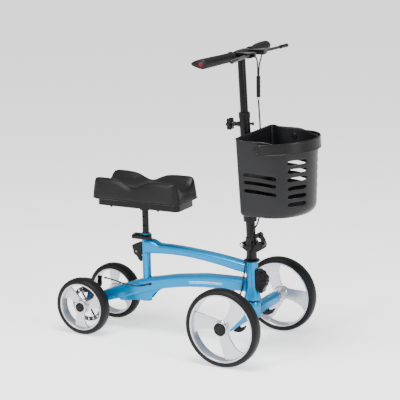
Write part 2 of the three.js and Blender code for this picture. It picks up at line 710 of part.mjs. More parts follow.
function columnCollar() {
  const sleeve = rod(17, [0, 0, 358], [0, 0, 430]);
  const lip = rod(18.4, [0, 0, 412], [0, 0, 430]);
  const boss = rod(8, [-12, 0, knobUp], [-26, 0, knobUp]);
  const stub = rod(3.4, [12, 0, knobUp + 2], [26, 0, knobUp + 2]);
  const tip = rod(5, [25, 0, knobUp + 2], [31, 0, knobUp + 2]);
  const lowBore = rod(columnRadius + gap, [0, 0, 350], [0, 0, columnTop + gap]);
  const highBore = rod(stemRadius + gap, [0, 0, 400], [0, 0, 440]);
  const screwHole = rod(4 + gap, [-16.6, 0, knobUp], [-30, 0, knobUp]);
  return cut(join(sleeve, lip, boss, stub, tip), lowBore, highBore, screwHole);
}

add('column_collar', columnCollar(), plasticBlack, column);

// A six-lobed hand knob on a screw.
function columnKnob() {
  const lobes = [];
  for (let k = 0; k < 6; k += 1) {
    const [y, z] = [15 * Math.cos((k * Math.PI) / 3), 15 * Math.sin((k * Math.PI) / 3)];
    lobes.push(rod(6, [-60, y, z], [-45, y, z], { sides: 8 }));
  }
  const body = rod(15, [-60, 0, 0], [-43, 0, 0]);
  const screw = rod(4, [-50, 0, 0], [-17.2, 0, 0]);
  return join(body, screw, ...lobes).translate(0, 0, knobUp);
}

add('column_knob', columnKnob(), plasticBlack, column);

// The column's own axis at a height, relative to the steering axis.
const columnAxis = (z) => -(z - hingeZ) * Math.tan(lean);

// A band round the column with two arms that hold the bar the basket hangs on.
const hangBar = { x: 9.5, z: 697.2, radius: 2.5 };

function basketBracket() {
  const [low, high] = [684, 700];
  const band = rod(18.2, [columnAxis(low), 0, low], [columnAxis(high), 0, high]);
  const arm = (side) => block([26, 3, 12], [0, side * 20, 694]);
  const plate = block([6, 43, 12], [-9, 0, 694]);
  const bar = rod(hangBar.radius, [hangBar.x, -23, hangBar.z], [hangBar.x, 23, hangBar.z]);
  const bore = rod(columnRadius + gap, [columnAxis(670), 0, 670], [columnAxis(710), 0, 710]);
  return cut(join(band, arm(1), arm(-1), plate, bar), bore).translate(steerX, 0, 0);
}

add('basket_bracket', basketBracket(), satinBlack);

// A lower band with a lug that steadies the basket floor.
function basketCollar() {
  const [low, high] = [424, 462];
  const band = rod(22, [columnAxis(low), 0, low], [columnAxis(high), 0, high]);
  const lug = block([40, 14, 16], [14, -1, basketFloor - gap - 8]);
  const bore = rod(columnRadius + gap, [columnAxis(410), 0, 410], [columnAxis(480), 0, 480]);
  return cut(join(band, lug), bore).translate(steerX, 0, 0);
}

add('basket_collar', basketCollar(), plasticBlack);

// ---------------------------------------------------------------- basket

const basketPlan = {
  back: { floor: 20, rim: 13 },
  half: { floor: 118, rim: 129 },
  reach: { floor: 113, rim: 121 },                 // of the round front, ahead of its centre
  centre: 105,
  corner: 11,
};

// Points round the basket's plan at a height above its floor, `inset` in from the outside.
function basketRing(height, inset) {
  const up = (height + inset) / (basketRim - basketFloor);
  const at = ({ floor, rim: top }) => floor + (top - floor) * up;
  const roundIn = (radius) => {
    const below = Math.max(0, radius - height);
    return radius - Math.sqrt(radius * radius - below * below);
  };
  const { centre, corner } = basketPlan;
  const back = at(basketPlan.back) + inset + roundIn(10);
  const half = at(basketPlan.half) - inset - roundIn(14);
  const reach = at(basketPlan.reach) - inset - roundIn(30);
  const ring = [];
  for (let k = 0; k <= 3; k += 1) {
    const angle = Math.PI + (k * Math.PI) / 6;
    ring.push([back + corner + corner * Math.cos(angle), corner - half + corner * Math.sin(angle)]);
  }
  for (let k = 0; k <= 14; k += 1) {
    const angle = (k / 14 - 0.5) * Math.PI;
    ring.push([centre + reach * Math.cos(angle), half * Math.sin(angle)]);
  }
  for (let k = 0; k <= 3; k += 1) {
    const angle = Math.PI / 2 + (k * Math.PI) / 6;
    ring.push([back + corner + corner * Math.cos(angle), half - corner + corner * Math.sin(angle)]);
  }
  return ring.map(([x, y]) => [x, y, basketFloor + inset + height]);
}

function basketBody() {
  const heights = [0, 3, 13, 34, 140, 255];
  const outside = loft(heights.map((h) => basketRing(h, 0)));
  const inside = loft(heights.map((h) => basketRing(h, basketWall)));
  const aboveRim = sidePlate([
    [-10, 716], [14, 716], [40, 711.2], [112, 711], [150, 701], [240, 700], [240, 760], [-10, 760],
  ], -150, 150);
  const backNotch = block([40, 50, 60], [10, 0, 730]);
  const hook = join(
    block([11.2, 32, 2.6], [10.4, 0, hangBar.z + hangBar.radius + gap + 1.3]),
    block([1.8, 32, 13], [5.7, 0, 696.5]),
  );
  const slots = [];
  for (const [from, to, fromZ, toZ] of [[39, 147, 603, 596], [39, 149, 579, 568], [42, 150, 552, 542]]) {
    const bow = [0, 0.33, 0.67, 1].map((t) => [
      from + (to - from) * t, fromZ + (toZ - fromZ) * t + 9 * t * (1 - t),
    ]);
    const lower = bow.map(([x, z]) => [x, z - 5]);
    const upper = bow.map(([x, z]) => [x, z + 5]).reverse();
    slots.push(sidePlate([...lower, ...upper], -150, 150));
  }
  for (const z of [645, 618.5, 592, 565, 539, 513]) {
    for (const turn of [-37, 37]) {
      const slot = new THREE.BoxGeometry(70, 66, 10.5);
      slot.translate(115, 0, 0).rotateZ(THREE.MathUtils.degToRad(turn));
      slots.push(solid(slot.translate(basketPlan.centre, 0, z)));
    }
  }
  const shell = cut(outside, inside, aboveRim, backNotch);
  const pinHole = rod(5 + gap, [handlePivot.x, -150, handlePivot.z], [handlePivot.x, 150, handlePivot.z]);
  return cut(join(shell, hook), pinHole, ...slots).translate(steerX, 0, 0);
}

add('basket', basketBody(), basketGrey);

// The carrying handle: a band round the front, turning on a pin through each side of the basket.
function basketHandle() {
  const curve = (reach, half) => {
    const points = [];
    for (let k = 0; k <= 14; k += 1) {
      const angle = (k / 14 - 0.5) * Math.PI;
      points.push([basketPlan.centre + reach * Math.cos(angle), half * Math.sin(angle)]);
    }
    return points;
  };
  const outline = [
    [86, -136], ...curve(128.6, 136), [86, 136], [86, 132.8], ...curve(125.2, 132.8).reverse(), [86, -132.8],
  ];
  const band = planPlate(outline, handlePivot.z - 18.5, handlePivot.z + 18.5);
  const { x, z } = handlePivot;
  const pivots = [-1, 1].flatMap((side) => [
    rod(18.3, [x, side * 132.4, z], [x, side * 137, z]),
    rod(5, [x, side * 120, z], [x, side * 134, z]),
    rod(8.5, [x, side * 119, z], [x, side * 123.6, z]),
  ]);
  return join(band, ...pivots).translate(-x, 0, -z).rotate([0, -3, 0]).translate(x + steerX, 0, z);
}

add('basket_handle', basketHandle(), basketGrey);

// ---------------------------------------------------------------- handlebar

// Inside this group the handlebar's middle is the origin and z runs up along the column.
const bar = group(0, 0, barUp, column);

function stem() {
  const tube = rod(stemRadius, [0, 0, 250 - barUp], [0, 0, -14]);
  const head = rod(17, [0, -24, 0], [0, 24, 0]);
  const tubeBore = rod(stemRadius - 1.5, [0, 0, 240 - barUp], [0, 0, -24]);
  const barBore = rod(barRadius + gap, [0, -30, 0], [0, 30, 0]);
  return cut(join(tube, head), tubeBore, barBore);
}

add('stem', stem(), satinBlack, bar);

// The bar's straight middle and its two swept ends, as one body of a given radius.
function sweptBar(radius, extra) {
  const x = -barEnd.back - extra * Math.sin(sweep);
  const y = barEnd.side + extra * Math.cos(sweep);
  const stations = [
    [x, -y, -sweep], [0, -barStraight, -sweep / 2], [0, barStraight, sweep / 2], [x, y, sweep],
  ];
  const sides = roundness(radius);
  return loft(stations.map(([centreX, centreY, turn]) => {
    const ring = [];
    for (let k = 0; k < sides; k += 1) {
      const angle = ((k + 0.5) * 2 * Math.PI) / sides;
      const out = radius * Math.cos(angle);
      ring.push([centreX + out * Math.cos(turn), centreY + out * Math.sin(turn), radius * Math.sin(angle)]);
    }
    return ring;
  }));
}

add('handlebar', cut(sweptBar(barRadius, 0), sweptBar(barRadius - 1.6, 5)), satinBlack, bar);

// A grip with a palm wing that grows towards its outer end; `s` runs outwards along the swept end.
function grip(side) {
  const ring = ([s, radius, wing]) => {
    const points = [];
    for (let k = 0; k < 12; k += 1) {
      const angle = (k * Math.PI) / 6;
      const back = Math.max(0, -Math.cos(angle));
      const x = (radius + (back > 0 ? wing : 0)) * Math.cos(angle);
      points.push([x, s, radius * Math.sin(angle) * (1 - (0.42 * back * wing) / 32)]);
    }
    return points;
  };
  const outside = loft([
    [16, 17.5], [20, 17.5], [21, 15, 1], [60, 15, 5], [105, 15.6, 10], [135, 16, 18], [158, 16.4, 27],
    [170, 16.4, 27], [175.5, 14, 21],
  ].map(([s, radius, wing = 0]) => ring([s, radius, wing])));
  const bore = rod(barRadius + gap, [0, 10, 0], [0, 171.7, 0]);
  const turn = (sweep * 180) / Math.PI;
  const body = cut(outside, bore).rotate([0, 0, turn]).translate(0, barStraight, 0);
  return side > 0 ? body : body.mirror([0, 1, 0]);
}

add('right_grip', grip(-1), rubber, bar);
add('left_grip', grip(1), rubber, bar);

// ---------------------------------------------------------------- brake levers

const leverPivot = { x: 51, y: 52 };
const leverLow = 0;
const leverHigh = 8;

// Everything here is drawn for the left hand; the right hand's is its mirror image.
function perch(side) {
  const clampRing = rod(15, [0, 27, 0], [0, 43, 0]);
  const body = planPlate([
    [4, 28], [38, 28], [52, 26], [66, 26], [67, 36], [63, 58], [56, 64], [46, 63], [34, 50], [4, 42],
  ], leverLow - 4, leverHigh + 4, 1.5);
  const slot = planPlate([[42, 40], [90, 40], [90, 90], [30, 90], [36, 60]], leverLow - gap, leverHigh + gap);
  const pin = rod(3, [leverPivot.x, leverPivot.y, -3], [leverPivot.x, leverPivot.y, 11]);
  const barrel = rod(4, [60, 30, 0.5], [60, 25.2, 0.5]);
  const bore = rod(barRadius + gap, [0, 10, 0], [0, barStraight - 1, 0]);
  const made = cut(join(cut(join(clampRing, body), slot), pin, barrel), bore);
  return side > 0 ? made : made.mirror([0, 1, 0]);
}

function brakeLever(side) {
  const { x, y } = leverPivot;
  const blade = planPlate([
    [44.5, 46], [50, 42.5], [57, 45], [60, 54], [58, 68], [60, 92], [64, 130], [69, 184],
    [62.5, 185], [55, 130], [50, 92], [47, 68], [43, 56],
  ], leverLow, leverHigh, 1.2);
  const middle = (leverLow + leverHigh) / 2;
  const tip = rod(6.2, [62.6, 150, middle], [66.5, 188, middle]);
  const ball = solid(new THREE.SphereGeometry(7, 10, 6).translate(66, 189, middle));
  const hole = rod(3 + gap, [x, y, -9], [x, y, 19]);
  const made = cut(join(blade, tip, ball), hole);
  return side > 0 ? made : made.mirror([0, 1, 0]);
}

add('right_lever_perch', perch(-1), plasticBlack, bar);
add('left_lever_perch', perch(1), plasticBlack, bar);
add('right_brake_lever', brakeLever(-1), plasticBlack, bar);
add('left_brake_lever', brakeLever(1), plasticBlack, bar);

// ---------------------------------------------------------------- brake cables

// Two lever cables meet in a splitter; one cable goes on down the column and into the frame.
const place = (points) => points.map(([x, y, z]) => [x + steerX, y, z]);

function leverCable(side) {
  return pipe(leverCableRadius, place([
    [35.5, side * 23.9, 957], [37, side * 14, 946], [35, side * 6, 925], [34, side * 3.2, 893],
  ]), 8);
}

add('right_lever_cable', leverCable(-1), plasticBlack);
add('left_lever_cable', leverCable(1), plasticBlack);

add('cable_splitter', join(
  rod(6.5, [34, 0, 892.5], [33.2, 0, 826]),
  rod(4.5, [33.2, 0, 827], [33, 0, 818]),
).translate(steerX, 0, 0), plasticBlack);

add('column_cable', pipe(cableRadius, place([
  [33, 0, 816.4], [24, 22, 775], [8, 58, 718], [6, 62, 650], [12, 44, 540], [13, 36, 500],
  [16, 28, 474], [23, 16, 448], [24, -2, 420], [18.7, -20, 398], [8, -24, 358],
]), 34), plasticBlack);

add('head_cable', pipe(cableRadius, place([
  [8, -24, 352], [-1, -29.8, 315], [-7, -30, 296], [-17, -26.5, 242], [-24, -26.5, 205],
  [-31, -24, 184], [-40, -14, 169], [-54, -4, 164], [-67, 0, 171], [-72, 0, 178.6],
]), 22), plasticBlack);

add('cable_adjuster', join(
  rod(5, [cableInlet.x, 0, 180], [cableInlet.x, 0, 193.5]),
  rod(6.8, [cableInlet.x, 0, 181.5], [cableInlet.x, 0, 187], { sides: 6 }),
).translate(steerX, 0, 0), steel);

add('frame_cable', pipe(cableRadius, place([
  [cableInlet.x, 0, 196.2], [-84, 0, 203.6], [-120, 0, 208], [-200, 0, 205], [-290, -2, 194],
  ...[-14, -5, 5, 14].map((s) => exitPoint(s)),
  [-408, -32, 168], [-451, -40, 171], [-493, -51, 184], [-512, -57, 189.2], [-525, -58.9, 191.3],
]), 38), plasticBlack);

// A sleeve where the cable leaves the beam's right side.
add('cable_grommet', cut(
  rod(5, exitPoint(-5), exitPoint(4)),
  rod(3.3, exitPoint(-8), exitPoint(8)),
).translate(steerX, 0, 0), rubber);

// ---------------------------------------------------------------- brake caliper

const rotorY = -rear.halfTrack + (rotor.inner + rotor.outer) / 2;
const caliper = { outer: -82, inner: -62.3, pivot: { x: 40, z: 68 }, reach: { x: 43, z: 95 } };

// The body straddles the disc, with a finger on top; x and z here are relative to the axle.
function caliperBody() {
  const outline = [];
  for (let degrees = 16; degrees <= 106; degrees += 10) {
    const angle = THREE.MathUtils.degToRad(degrees);
    outline.push([78 * Math.cos(angle), 78 * Math.sin(angle)]);
  }
  for (let degrees = 106; degrees >= 16; degrees -= 18) {
    const angle = THREE.MathUtils.degToRad(degrees);
    outline.push([41 * Math.cos(angle), 41 * Math.sin(angle)]);
  }
  const { x, z } = caliper.pivot;
  const body = sidePlate(outline, caliper.outer, caliper.inner, 1.5);
  const ear = rod(9, [x, -78, z], [x, caliper.inner, z]);
  const finger = sidePlate([[4, 72], [18, 70], [24, 82], [23, 91], [-9, 91], [-9, 85], [10, 84]], -80, -74);
  const discSlot = rod(rotor.radius + 2, [0, rotorY - 1.6, 0], [0, rotorY + 1.6, 0]);
  const armBore = rod(4 + gap, [x, -70.5, z], [x, -50, z]);
  return cut(join(body, ear, finger), discSlot, armBore).translate(rearAxleX, 0, axleZ);
}

add('caliper_body', caliperBody(), plasticBlack);

// The pull arm turns on its own stub. The brake cable's housing stops short of its upper tip,
// by more than the tip travels.
function caliperArm() {
  const { pivot, reach } = caliper;
  const arm = sidePlate([
    [pivot.x - 8, pivot.z - 3], [pivot.x - 3, pivot.z - 8], [pivot.x + 5, pivot.z - 7],
    [pivot.x + 9, pivot.z], [reach.x + 6, reach.z - 6], [reach.x + 8, reach.z + 4],
    [reach.x - 9, reach.z + 4], [reach.x - 8, reach.z - 6],
  ], caliper.inner + gap, caliper.inner + gap + 6, 0.8);
  const stub = rod(3.7, [pivot.x, -70, pivot.z], [pivot.x, -60, pivot.z]);
  return join(arm, stub).translate(rearAxleX, 0, axleZ);
}

add('caliper_arm', caliperArm(), satinBlack);

export default scooter;
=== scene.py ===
"""A folding knee scooter: its looks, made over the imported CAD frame. Metres, +X forward, +Z up."""

import json
import math

import bmesh
import bpy
import numpy as np
from mathutils import Matrix, Vector


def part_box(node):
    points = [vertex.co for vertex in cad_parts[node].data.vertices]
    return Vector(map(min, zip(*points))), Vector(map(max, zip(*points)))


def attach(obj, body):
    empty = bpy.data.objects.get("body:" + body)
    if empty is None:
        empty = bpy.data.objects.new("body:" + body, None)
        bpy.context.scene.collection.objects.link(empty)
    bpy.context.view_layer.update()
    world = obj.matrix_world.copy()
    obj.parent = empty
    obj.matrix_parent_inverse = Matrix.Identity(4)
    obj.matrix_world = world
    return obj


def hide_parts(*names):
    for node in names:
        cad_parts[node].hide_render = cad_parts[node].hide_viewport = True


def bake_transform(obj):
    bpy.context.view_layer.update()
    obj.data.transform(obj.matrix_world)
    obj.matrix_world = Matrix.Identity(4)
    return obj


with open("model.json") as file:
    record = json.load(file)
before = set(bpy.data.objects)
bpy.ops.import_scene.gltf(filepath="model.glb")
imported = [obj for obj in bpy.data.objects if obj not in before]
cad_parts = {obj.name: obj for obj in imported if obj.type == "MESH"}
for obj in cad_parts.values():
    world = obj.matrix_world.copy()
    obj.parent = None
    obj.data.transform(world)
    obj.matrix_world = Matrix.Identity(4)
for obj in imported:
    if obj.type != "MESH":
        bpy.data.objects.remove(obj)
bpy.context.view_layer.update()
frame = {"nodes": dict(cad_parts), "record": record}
nodes = frame["nodes"]

# ---------------------------------------------------------------- places taken from the frame

MM = 0.001
STEER_X = 0.223
SEAT_X = STEER_X - 0.393
REAR_X = STEER_X - 0.585
LEAN = math.radians(2.33)
HINGE_Z = 0.345
BAR_UP = 0.6125
FRONT_AXLE_Z = 0.127
REAR_AXLE_Z = 0.097
WHEELS = {"front_right": 57, "front_left": 74, "rear_right": 27, "rear_left": 95}  # first blade, degrees


def from_steering(points):
    """Points in millimetres from the steering axis, as vectors in metres."""
    return [Vector((x * MM + STEER_X, y * MM, z * MM)) for x, y, z in points]


def side_outline(points):
    """An outline of (x, z) in millimetres from the steering axis, in metres."""
    return [(x * MM + STEER_X, z * MM) for x, z in points]


def in_metres(pairs):
    return [(a * MM, b * MM) for a, b in pairs]


def on_column(x, y, up):
    """A point given in metres along and beside the leaning column."""
    return Vector((
        STEER_X + x * math.cos(LEAN) - up * math.sin(LEAN),
        y,
        HINGE_Z + x * math.sin(LEAN) + up * math.cos(LEAN),
    ))


# ---------------------------------------------------------------- camera and light

def make_camera():
    azimuth, elevation, roll = math.radians(29.04), math.radians(13.23), math.radians(1.44)
    target = Vector((0.0382, 0.0, 0.4754))
    back = Vector((
        math.sin(azimuth) * math.cos(elevation),
        -math.cos(azimuth) * math.cos(elevation),
        math.sin(elevation),
    ))
    data = bpy.data.cameras.new("camera")
    data.lens = 147.1
    data.sensor_width = 36.0
    data.clip_end = 60.0
    camera = bpy.data.objects.new("camera", data)
    bpy.context.scene.collection.objects.link(camera)
    turn = (-back).to_track_quat("-Z", "Y").to_matrix() @ Matrix.Rotation(-roll, 3, "Z")
    camera.matrix_world = Matrix.Translation(target + back * 5.29) @ turn.to_4x4()
    bpy.context.scene.camera = camera


def area_light(name, place, aim, size, power):
    data = bpy.data.lights.new(name, "AREA")
    data.shape = "RECTANGLE"
    data.size, data.size_y = size
    data.energy = power
    light = bpy.data.objects.new(name, data)
    light.location = place
    light.rotation_euler = (Vector(aim) - Vector(place)).to_track_quat("-Z", "Y").to_euler()
    bpy.context.scene.collection.objects.link(light)


def make_studio():
    world = bpy.data.worlds.new("studio")
    world.use_nodes = True
    world.node_tree.nodes["Background"].inputs["Color"].default_value = (1.0, 1.0, 1.0, 1.0)
    world.node_tree.nodes["Background"].inputs["Strength"].default_value = 0.6
    bpy.context.scene.world = world
    area_light("top", (0.3, -0.7, 3.0), (0.0, 0.0, 0.4), (1.4, 1.0), 120)
    area_light("key", (-0.9, -3.4, 2.3), (0.1, 0.0, 0.5), (0.7, 1.8), 130)
    area_light("side", (3.2, -0.8, 1.6), (0.0, 0.0, 0.5), (0.6, 1.8), 90)

    bpy.ops.mesh.primitive_plane_add(size=24, location=(0, 0, 0))
    floor = bpy.context.object
    floor.name = "floor"
    paper = surface("floor", (0.93, 0.93, 0.93), 0.6, mottle=0.0)
    paper.node_tree.nodes["Principled BSDF"].inputs["Emission Color"].default_value = (1, 1, 1, 1)
    paper.node_tree.nodes["Principled BSDF"].inputs["Emission Strength"].default_value = 1.0
    floor.data.materials.append(paper)


# ---------------------------------------------------------------- materials

def surface(name, colour, rough, metallic=0.0, mottle=0.12, cloud=14.0, spread=0.08,
            grain=None, coat=0.0, shine=0.5):
    """A procedural finish: clouded colour and roughness, with a fine bump of `grain`,
    which is (kind, cells per metre, depth in metres)."""
    material = bpy.data.materials.new(name)
    material.use_nodes = True
    tree = material.node_tree
    add, link = tree.nodes.new, tree.links.new
    shader = tree.nodes["Principled BSDF"]
    shader.inputs["Metallic"].default_value = metallic
    shader.inputs["Specular IOR Level"].default_value = shine
    shader.inputs["Coat Weight"].default_value = coat
    shader.inputs["Coat Roughness"].default_value = 0.08
    place = add("ShaderNodeTexCoord")

    clouds = add("ShaderNodeTexNoise")
    clouds.inputs["Scale"].default_value = cloud
    clouds.inputs["Detail"].default_value = 5.0
    link(place.outputs["Object"], clouds.inputs["Vector"])
    tones = add("ShaderNodeValToRGB")
    tones.color_ramp.elements[0].position = 0.3
    tones.color_ramp.elements[1].position = 0.7
    tones.color_ramp.elements[0].color = (*[c * (1 - mottle) for c in colour], 1)
    tones.color_ramp.elements[1].color = (*[min(1, c * (1 + mottle)) for c in colour], 1)
    link(clouds.outputs["Fac"], tones.inputs["Fac"])
    link(tones.outputs["Color"], shader.inputs["Base Color"])

    gloss = add("ShaderNodeMapRange")
    gloss.inputs["To Min"].default_value = max(0.02, rough - spread)
    gloss.inputs["To Max"].default_value = min(1.0, rough + spread)
    link(clouds.outputs["Fac"], gloss.inputs["Value"])
    link(gloss.outputs["Result"], shader.inputs["Roughness"])

    if grain:
        kind, cells, depth = grain
        if kind == "pebble":
            relief = add("ShaderNodeTexVoronoi")
            height = relief.outputs["Distance"]
        else:
            relief = add("ShaderNodeTexNoise")
            relief.inputs["Detail"].default_value = 2.0 if kind == "brushed" else 6.0
            height = relief.outputs["Fac"]
        relief.inputs["Scale"].default_value = cells
        stretch = add("ShaderNodeMapping")
        stretch.inputs["Scale"].default_value = (1, 0.06, 1) if kind == "brushed" else (1, 1, 1)
        link(place.outputs["Object"], stretch.inputs["Vector"])
        link(stretch.outputs["Vector"], relief.inputs["Vector"])
        bump = add("ShaderNodeBump")
        bump.inputs["Strength"].default_value = 0.6
        bump.inputs["Distance"].default_value = depth
        link(height, bump.inputs["Height"])
        link(bump.outputs["Normal"], shader.inputs["Normal"])
    return material


def make_finishes():
    return {
        "blue_paint": surface("blue_paint", (0.0, 0.18, 0.40), 0.24, metallic=0.5, mottle=0.03, cloud=5,
                              spread=0.04, grain=("fine", 420, 0.00005), coat=0.1, shine=0.05),
        "satin_black": surface("satin_black", (0.003, 0.003, 0.0035), 0.26, mottle=0.25, cloud=30,
                               grain=("fine", 900, 0.00006), shine=0.16),
        "black_plastic": surface("black_plastic", (0.003, 0.003, 0.0033), 0.3, mottle=0.25, cloud=40,
                                 grain=("pebble", 1400, 0.00010), shine=0.16),
        "basket_plastic": surface("basket_plastic", (0.0065, 0.0065, 0.0075), 0.36, mottle=0.25, cloud=7,
                                  grain=("pebble", 1100, 0.00012), shine=0.2),
        "handle_plastic": surface("handle_plastic", (0.0045, 0.0045, 0.005), 0.36, mottle=0.25,
                                  cloud=12, grain=("fine", 900, 0.00008), shine=0.18),
        "pad_cover": surface("pad_cover", (0.004, 0.004, 0.0045), 0.42, mottle=0.25, cloud=20,
                             grain=("pebble", 620, 0.0003), shine=0.2),
        "rim_plastic": surface("rim_plastic", (0.50, 0.50, 0.54), 0.24, metallic=0.7, mottle=0.05,
                               cloud=12, grain=("fine", 800, 0.00006)),
        "tyre_rubber": surface("tyre_rubber", (0.004, 0.004, 0.0045), 0.5, mottle=0.25, cloud=18,
                               grain=("fine", 700, 0.00018), shine=0.16),
        "grip_rubber": surface("grip_rubber", (0.004, 0.004, 0.0045), 0.46, mottle=0.25, cloud=30,
                               grain=("pebble", 800, 0.0002), shine=0.18),
        "cable_sheath": surface("cable_sheath", (0.004, 0.004, 0.0045), 0.3, mottle=0.15, cloud=60,
                                grain=("fine", 1200, 0.00005), shine=0.2),
        "bright_steel": surface("bright_steel", (0.50, 0.50, 0.52), 0.26, metallic=1.0, mottle=0.1,
                                cloud=60, grain=("brushed", 1500, 0.00006)),
        "gloss_black": surface("gloss_black", (0.0025, 0.0025, 0.003), 0.2, mottle=0.2, cloud=60,
                               grain=("fine", 900, 0.00004), shine=0.3),
        "disc_steel": surface("disc_steel", (0.10, 0.10, 0.105), 0.36, metallic=1.0, mottle=0.2,
                              cloud=60, grain=("brushed", 1500, 0.00008)),
    }


# ---------------------------------------------------------------- mesh building

class Solid:
    """Vertices and faces gathered from several shapes into one mesh."""

    def __init__(self):
        self.verts = []
        self.faces = []

    def add(self, verts, faces):
        start = len(self.verts)
        self.verts.extend(Vector(v) for v in verts)
        self.faces.extend([start + i for i in face] for face in faces)
        return self

    def rings(self, rings, closed=False, caps=True):
        """A skin over rings that each go the same way round."""
        count = len(rings[0])
        verts = [point for ring in rings for point in ring]
        faces = []
        for k in range(len(rings) if closed else len(rings) - 1):
            a, b = k * count, ((k + 1) % len(rings)) * count
            for i in range(count):
                j = (i + 1) % count
                faces.append((a + i, a + j, b + j, b + i))
        if caps and not closed:
            faces.append(tuple(reversed(range(count))))
            faces.append(tuple(range(len(verts) - count, len(verts))))
        return self.add(verts, faces)

    def turned(self, profile, axis, origin=(0, 0, 0), segments=64):
        """A closed profile of (radius, place along the axis) turned about Y or Z."""
        origin = Vector(origin)
        rings = []
        for i in range(segments):
            angle = 2 * math.pi * i / segments
            c, s = math.cos(angle), math.sin(angle)
            ring = []
            for radius, along in profile:
                local = (radius * c, along, radius * s) if axis == "Y" else (radius * c, radius * s, along)
                ring.append(origin + Vector(local))
            rings.append(ring)
        return self.rings(rings, closed=True)

    def prism(self, outline, low, high):
        """An outline of (x, z) points thickened along Y."""
        return self.rings([[(x, y, z) for x, z in outline] for y in (low, high)])


def piece(name, solid, material, body, replaces=(), crease=38, edge=None):
    mesh = bpy.data.meshes.new(name)
    mesh.from_pydata([tuple(v) for v in solid.verts], [], solid.faces)
    tidy = bmesh.new()
    tidy.from_mesh(mesh)
    bmesh.ops.remove_doubles(tidy, verts=tidy.verts, dist=1e-6)
    bmesh.ops.recalc_face_normals(tidy, faces=tidy.faces)
    tidy.to_mesh(mesh)
    tidy.free()
    mesh.polygons.foreach_set("use_smooth", [True] * len(mesh.polygons))
    mesh.set_sharp_from_angle(angle=math.radians(crease))
    made = bpy.data.objects.new(name, mesh)
    bpy.context.scene.collection.objects.link(made)
    mesh.materials.append(material)
    if edge:
        soften_edges(made, edge, crease)
    if isinstance(body, str):
        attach(made, body)
    if replaces:
        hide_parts(*replaces)
    return made


def soften_edges(thing, width, crease=38):
    bevel = thing.modifiers.new("edges", "BEVEL")
    bevel.width = width
    bevel.segments = 2
    bevel.limit_method = "ANGLE"
    bevel.angle_limit = math.radians(crease)
    bevel.harden_normals = True


def smooth_value(pairs, at):
    """A smooth curve through (place, value) pairs, evaluated at one place."""
    places = np.array([p for p, _ in pairs], float)
    values = np.array([v for _, v in pairs], float)
    slopes = np.gradient(values, places)
    k = int(np.clip(np.searchsorted(places, at) - 1, 0, len(places) - 2))
    h = places[k + 1] - places[k]
    t = (at - places[k]) / h
    return float(
        values[k] * (2 * t ** 3 - 3 * t ** 2 + 1) + slopes[k] * h * (t ** 3 - 2 * t ** 2 + t)
        + values[k + 1] * (3 * t ** 2 - 2 * t ** 3) + slopes[k + 1] * h * (t ** 3 - t ** 2)
    )


def smooth_path(points, steps):
    """Places along a smooth curve through the points, the same number between each pair."""
    ends = [points[0] * 2 - points[1], *points, points[-1] * 2 - points[-2]]
    path = []
    for k in range(1, len(ends) - 2):
        p0, p1, p2, p3 = ends[k - 1:k + 3]
        for i in range(steps):
            t = i / steps
            path.append(0.5 * (
                2 * p1 + (p2 - p0) * t + (2 * p0 - 5 * p1 + 4 * p2 - p3) * t * t
                + (3 * p1 - p0 - 3 * p2 + p3) * t ** 3
            ))
    path.append(points[-1].copy())
    return path


def tube(path, radius, sides=14):
    """A round tube along a path, its section carried along without twisting."""
    solid = Solid()
    direction = (path[1] - path[0]).normalized()
    across = direction.orthogonal().normalized()
    rings = []
    for k, point in enumerate(path):
        ahead = path[min(k + 1, len(path) - 1)] - path[max(k - 1, 0)]
        ahead.normalize()
        across = (across - ahead * across.dot(ahead)).normalized()
        other = ahead.cross(across)
        rings.append([
            point + radius * (math.cos(a) * across + math.sin(a) * other)
            for a in (2 * math.pi * i / sides for i in range(sides))
        ])
    return solid.rings(rings)


def closed_bead(path, radius, sides=10):
    """A round bead that follows a closed, nearly level path."""
    rings = []
    for k, point in enumerate(path):
        ahead = (path[(k + 1) % len(path)] - path[k - 1]).normalized()
        out = Vector((ahead.y, -ahead.x, 0)).normalized()
        up = out.cross(ahead)
        rings.append([
            point + radius * (math.cos(a) * out + math.sin(a) * up)
            for a in (2 * math.pi * i / sides for i in range(sides))
        ])
    return Solid().rings(rings, closed=True)


# ---------------------------------------------------------------- wheels

def tyre_profile(radius):
    """A low round-shouldered tread, with a mould line on each shoulder."""
    half, crown = 20.3 * MM, 12 * MM
    profile = [(radius - 18.5 * MM, -13 * MM)]
    for i in range(21):
        angle = math.radians(-104 + 208 * i / 20)
        s, c = math.sin(angle), math.cos(angle)
        y = half * math.copysign(abs(s) ** 0.72, s)
        r = radius - crown + crown * math.copysign(abs(c) ** 0.72, c)
        if abs(abs(angle) - 0.55) < 0.06:
            r -= 0.7 * MM
        profile.append((r, y))
    profile.append((radius - 18.5 * MM, 13 * MM))
    return profile


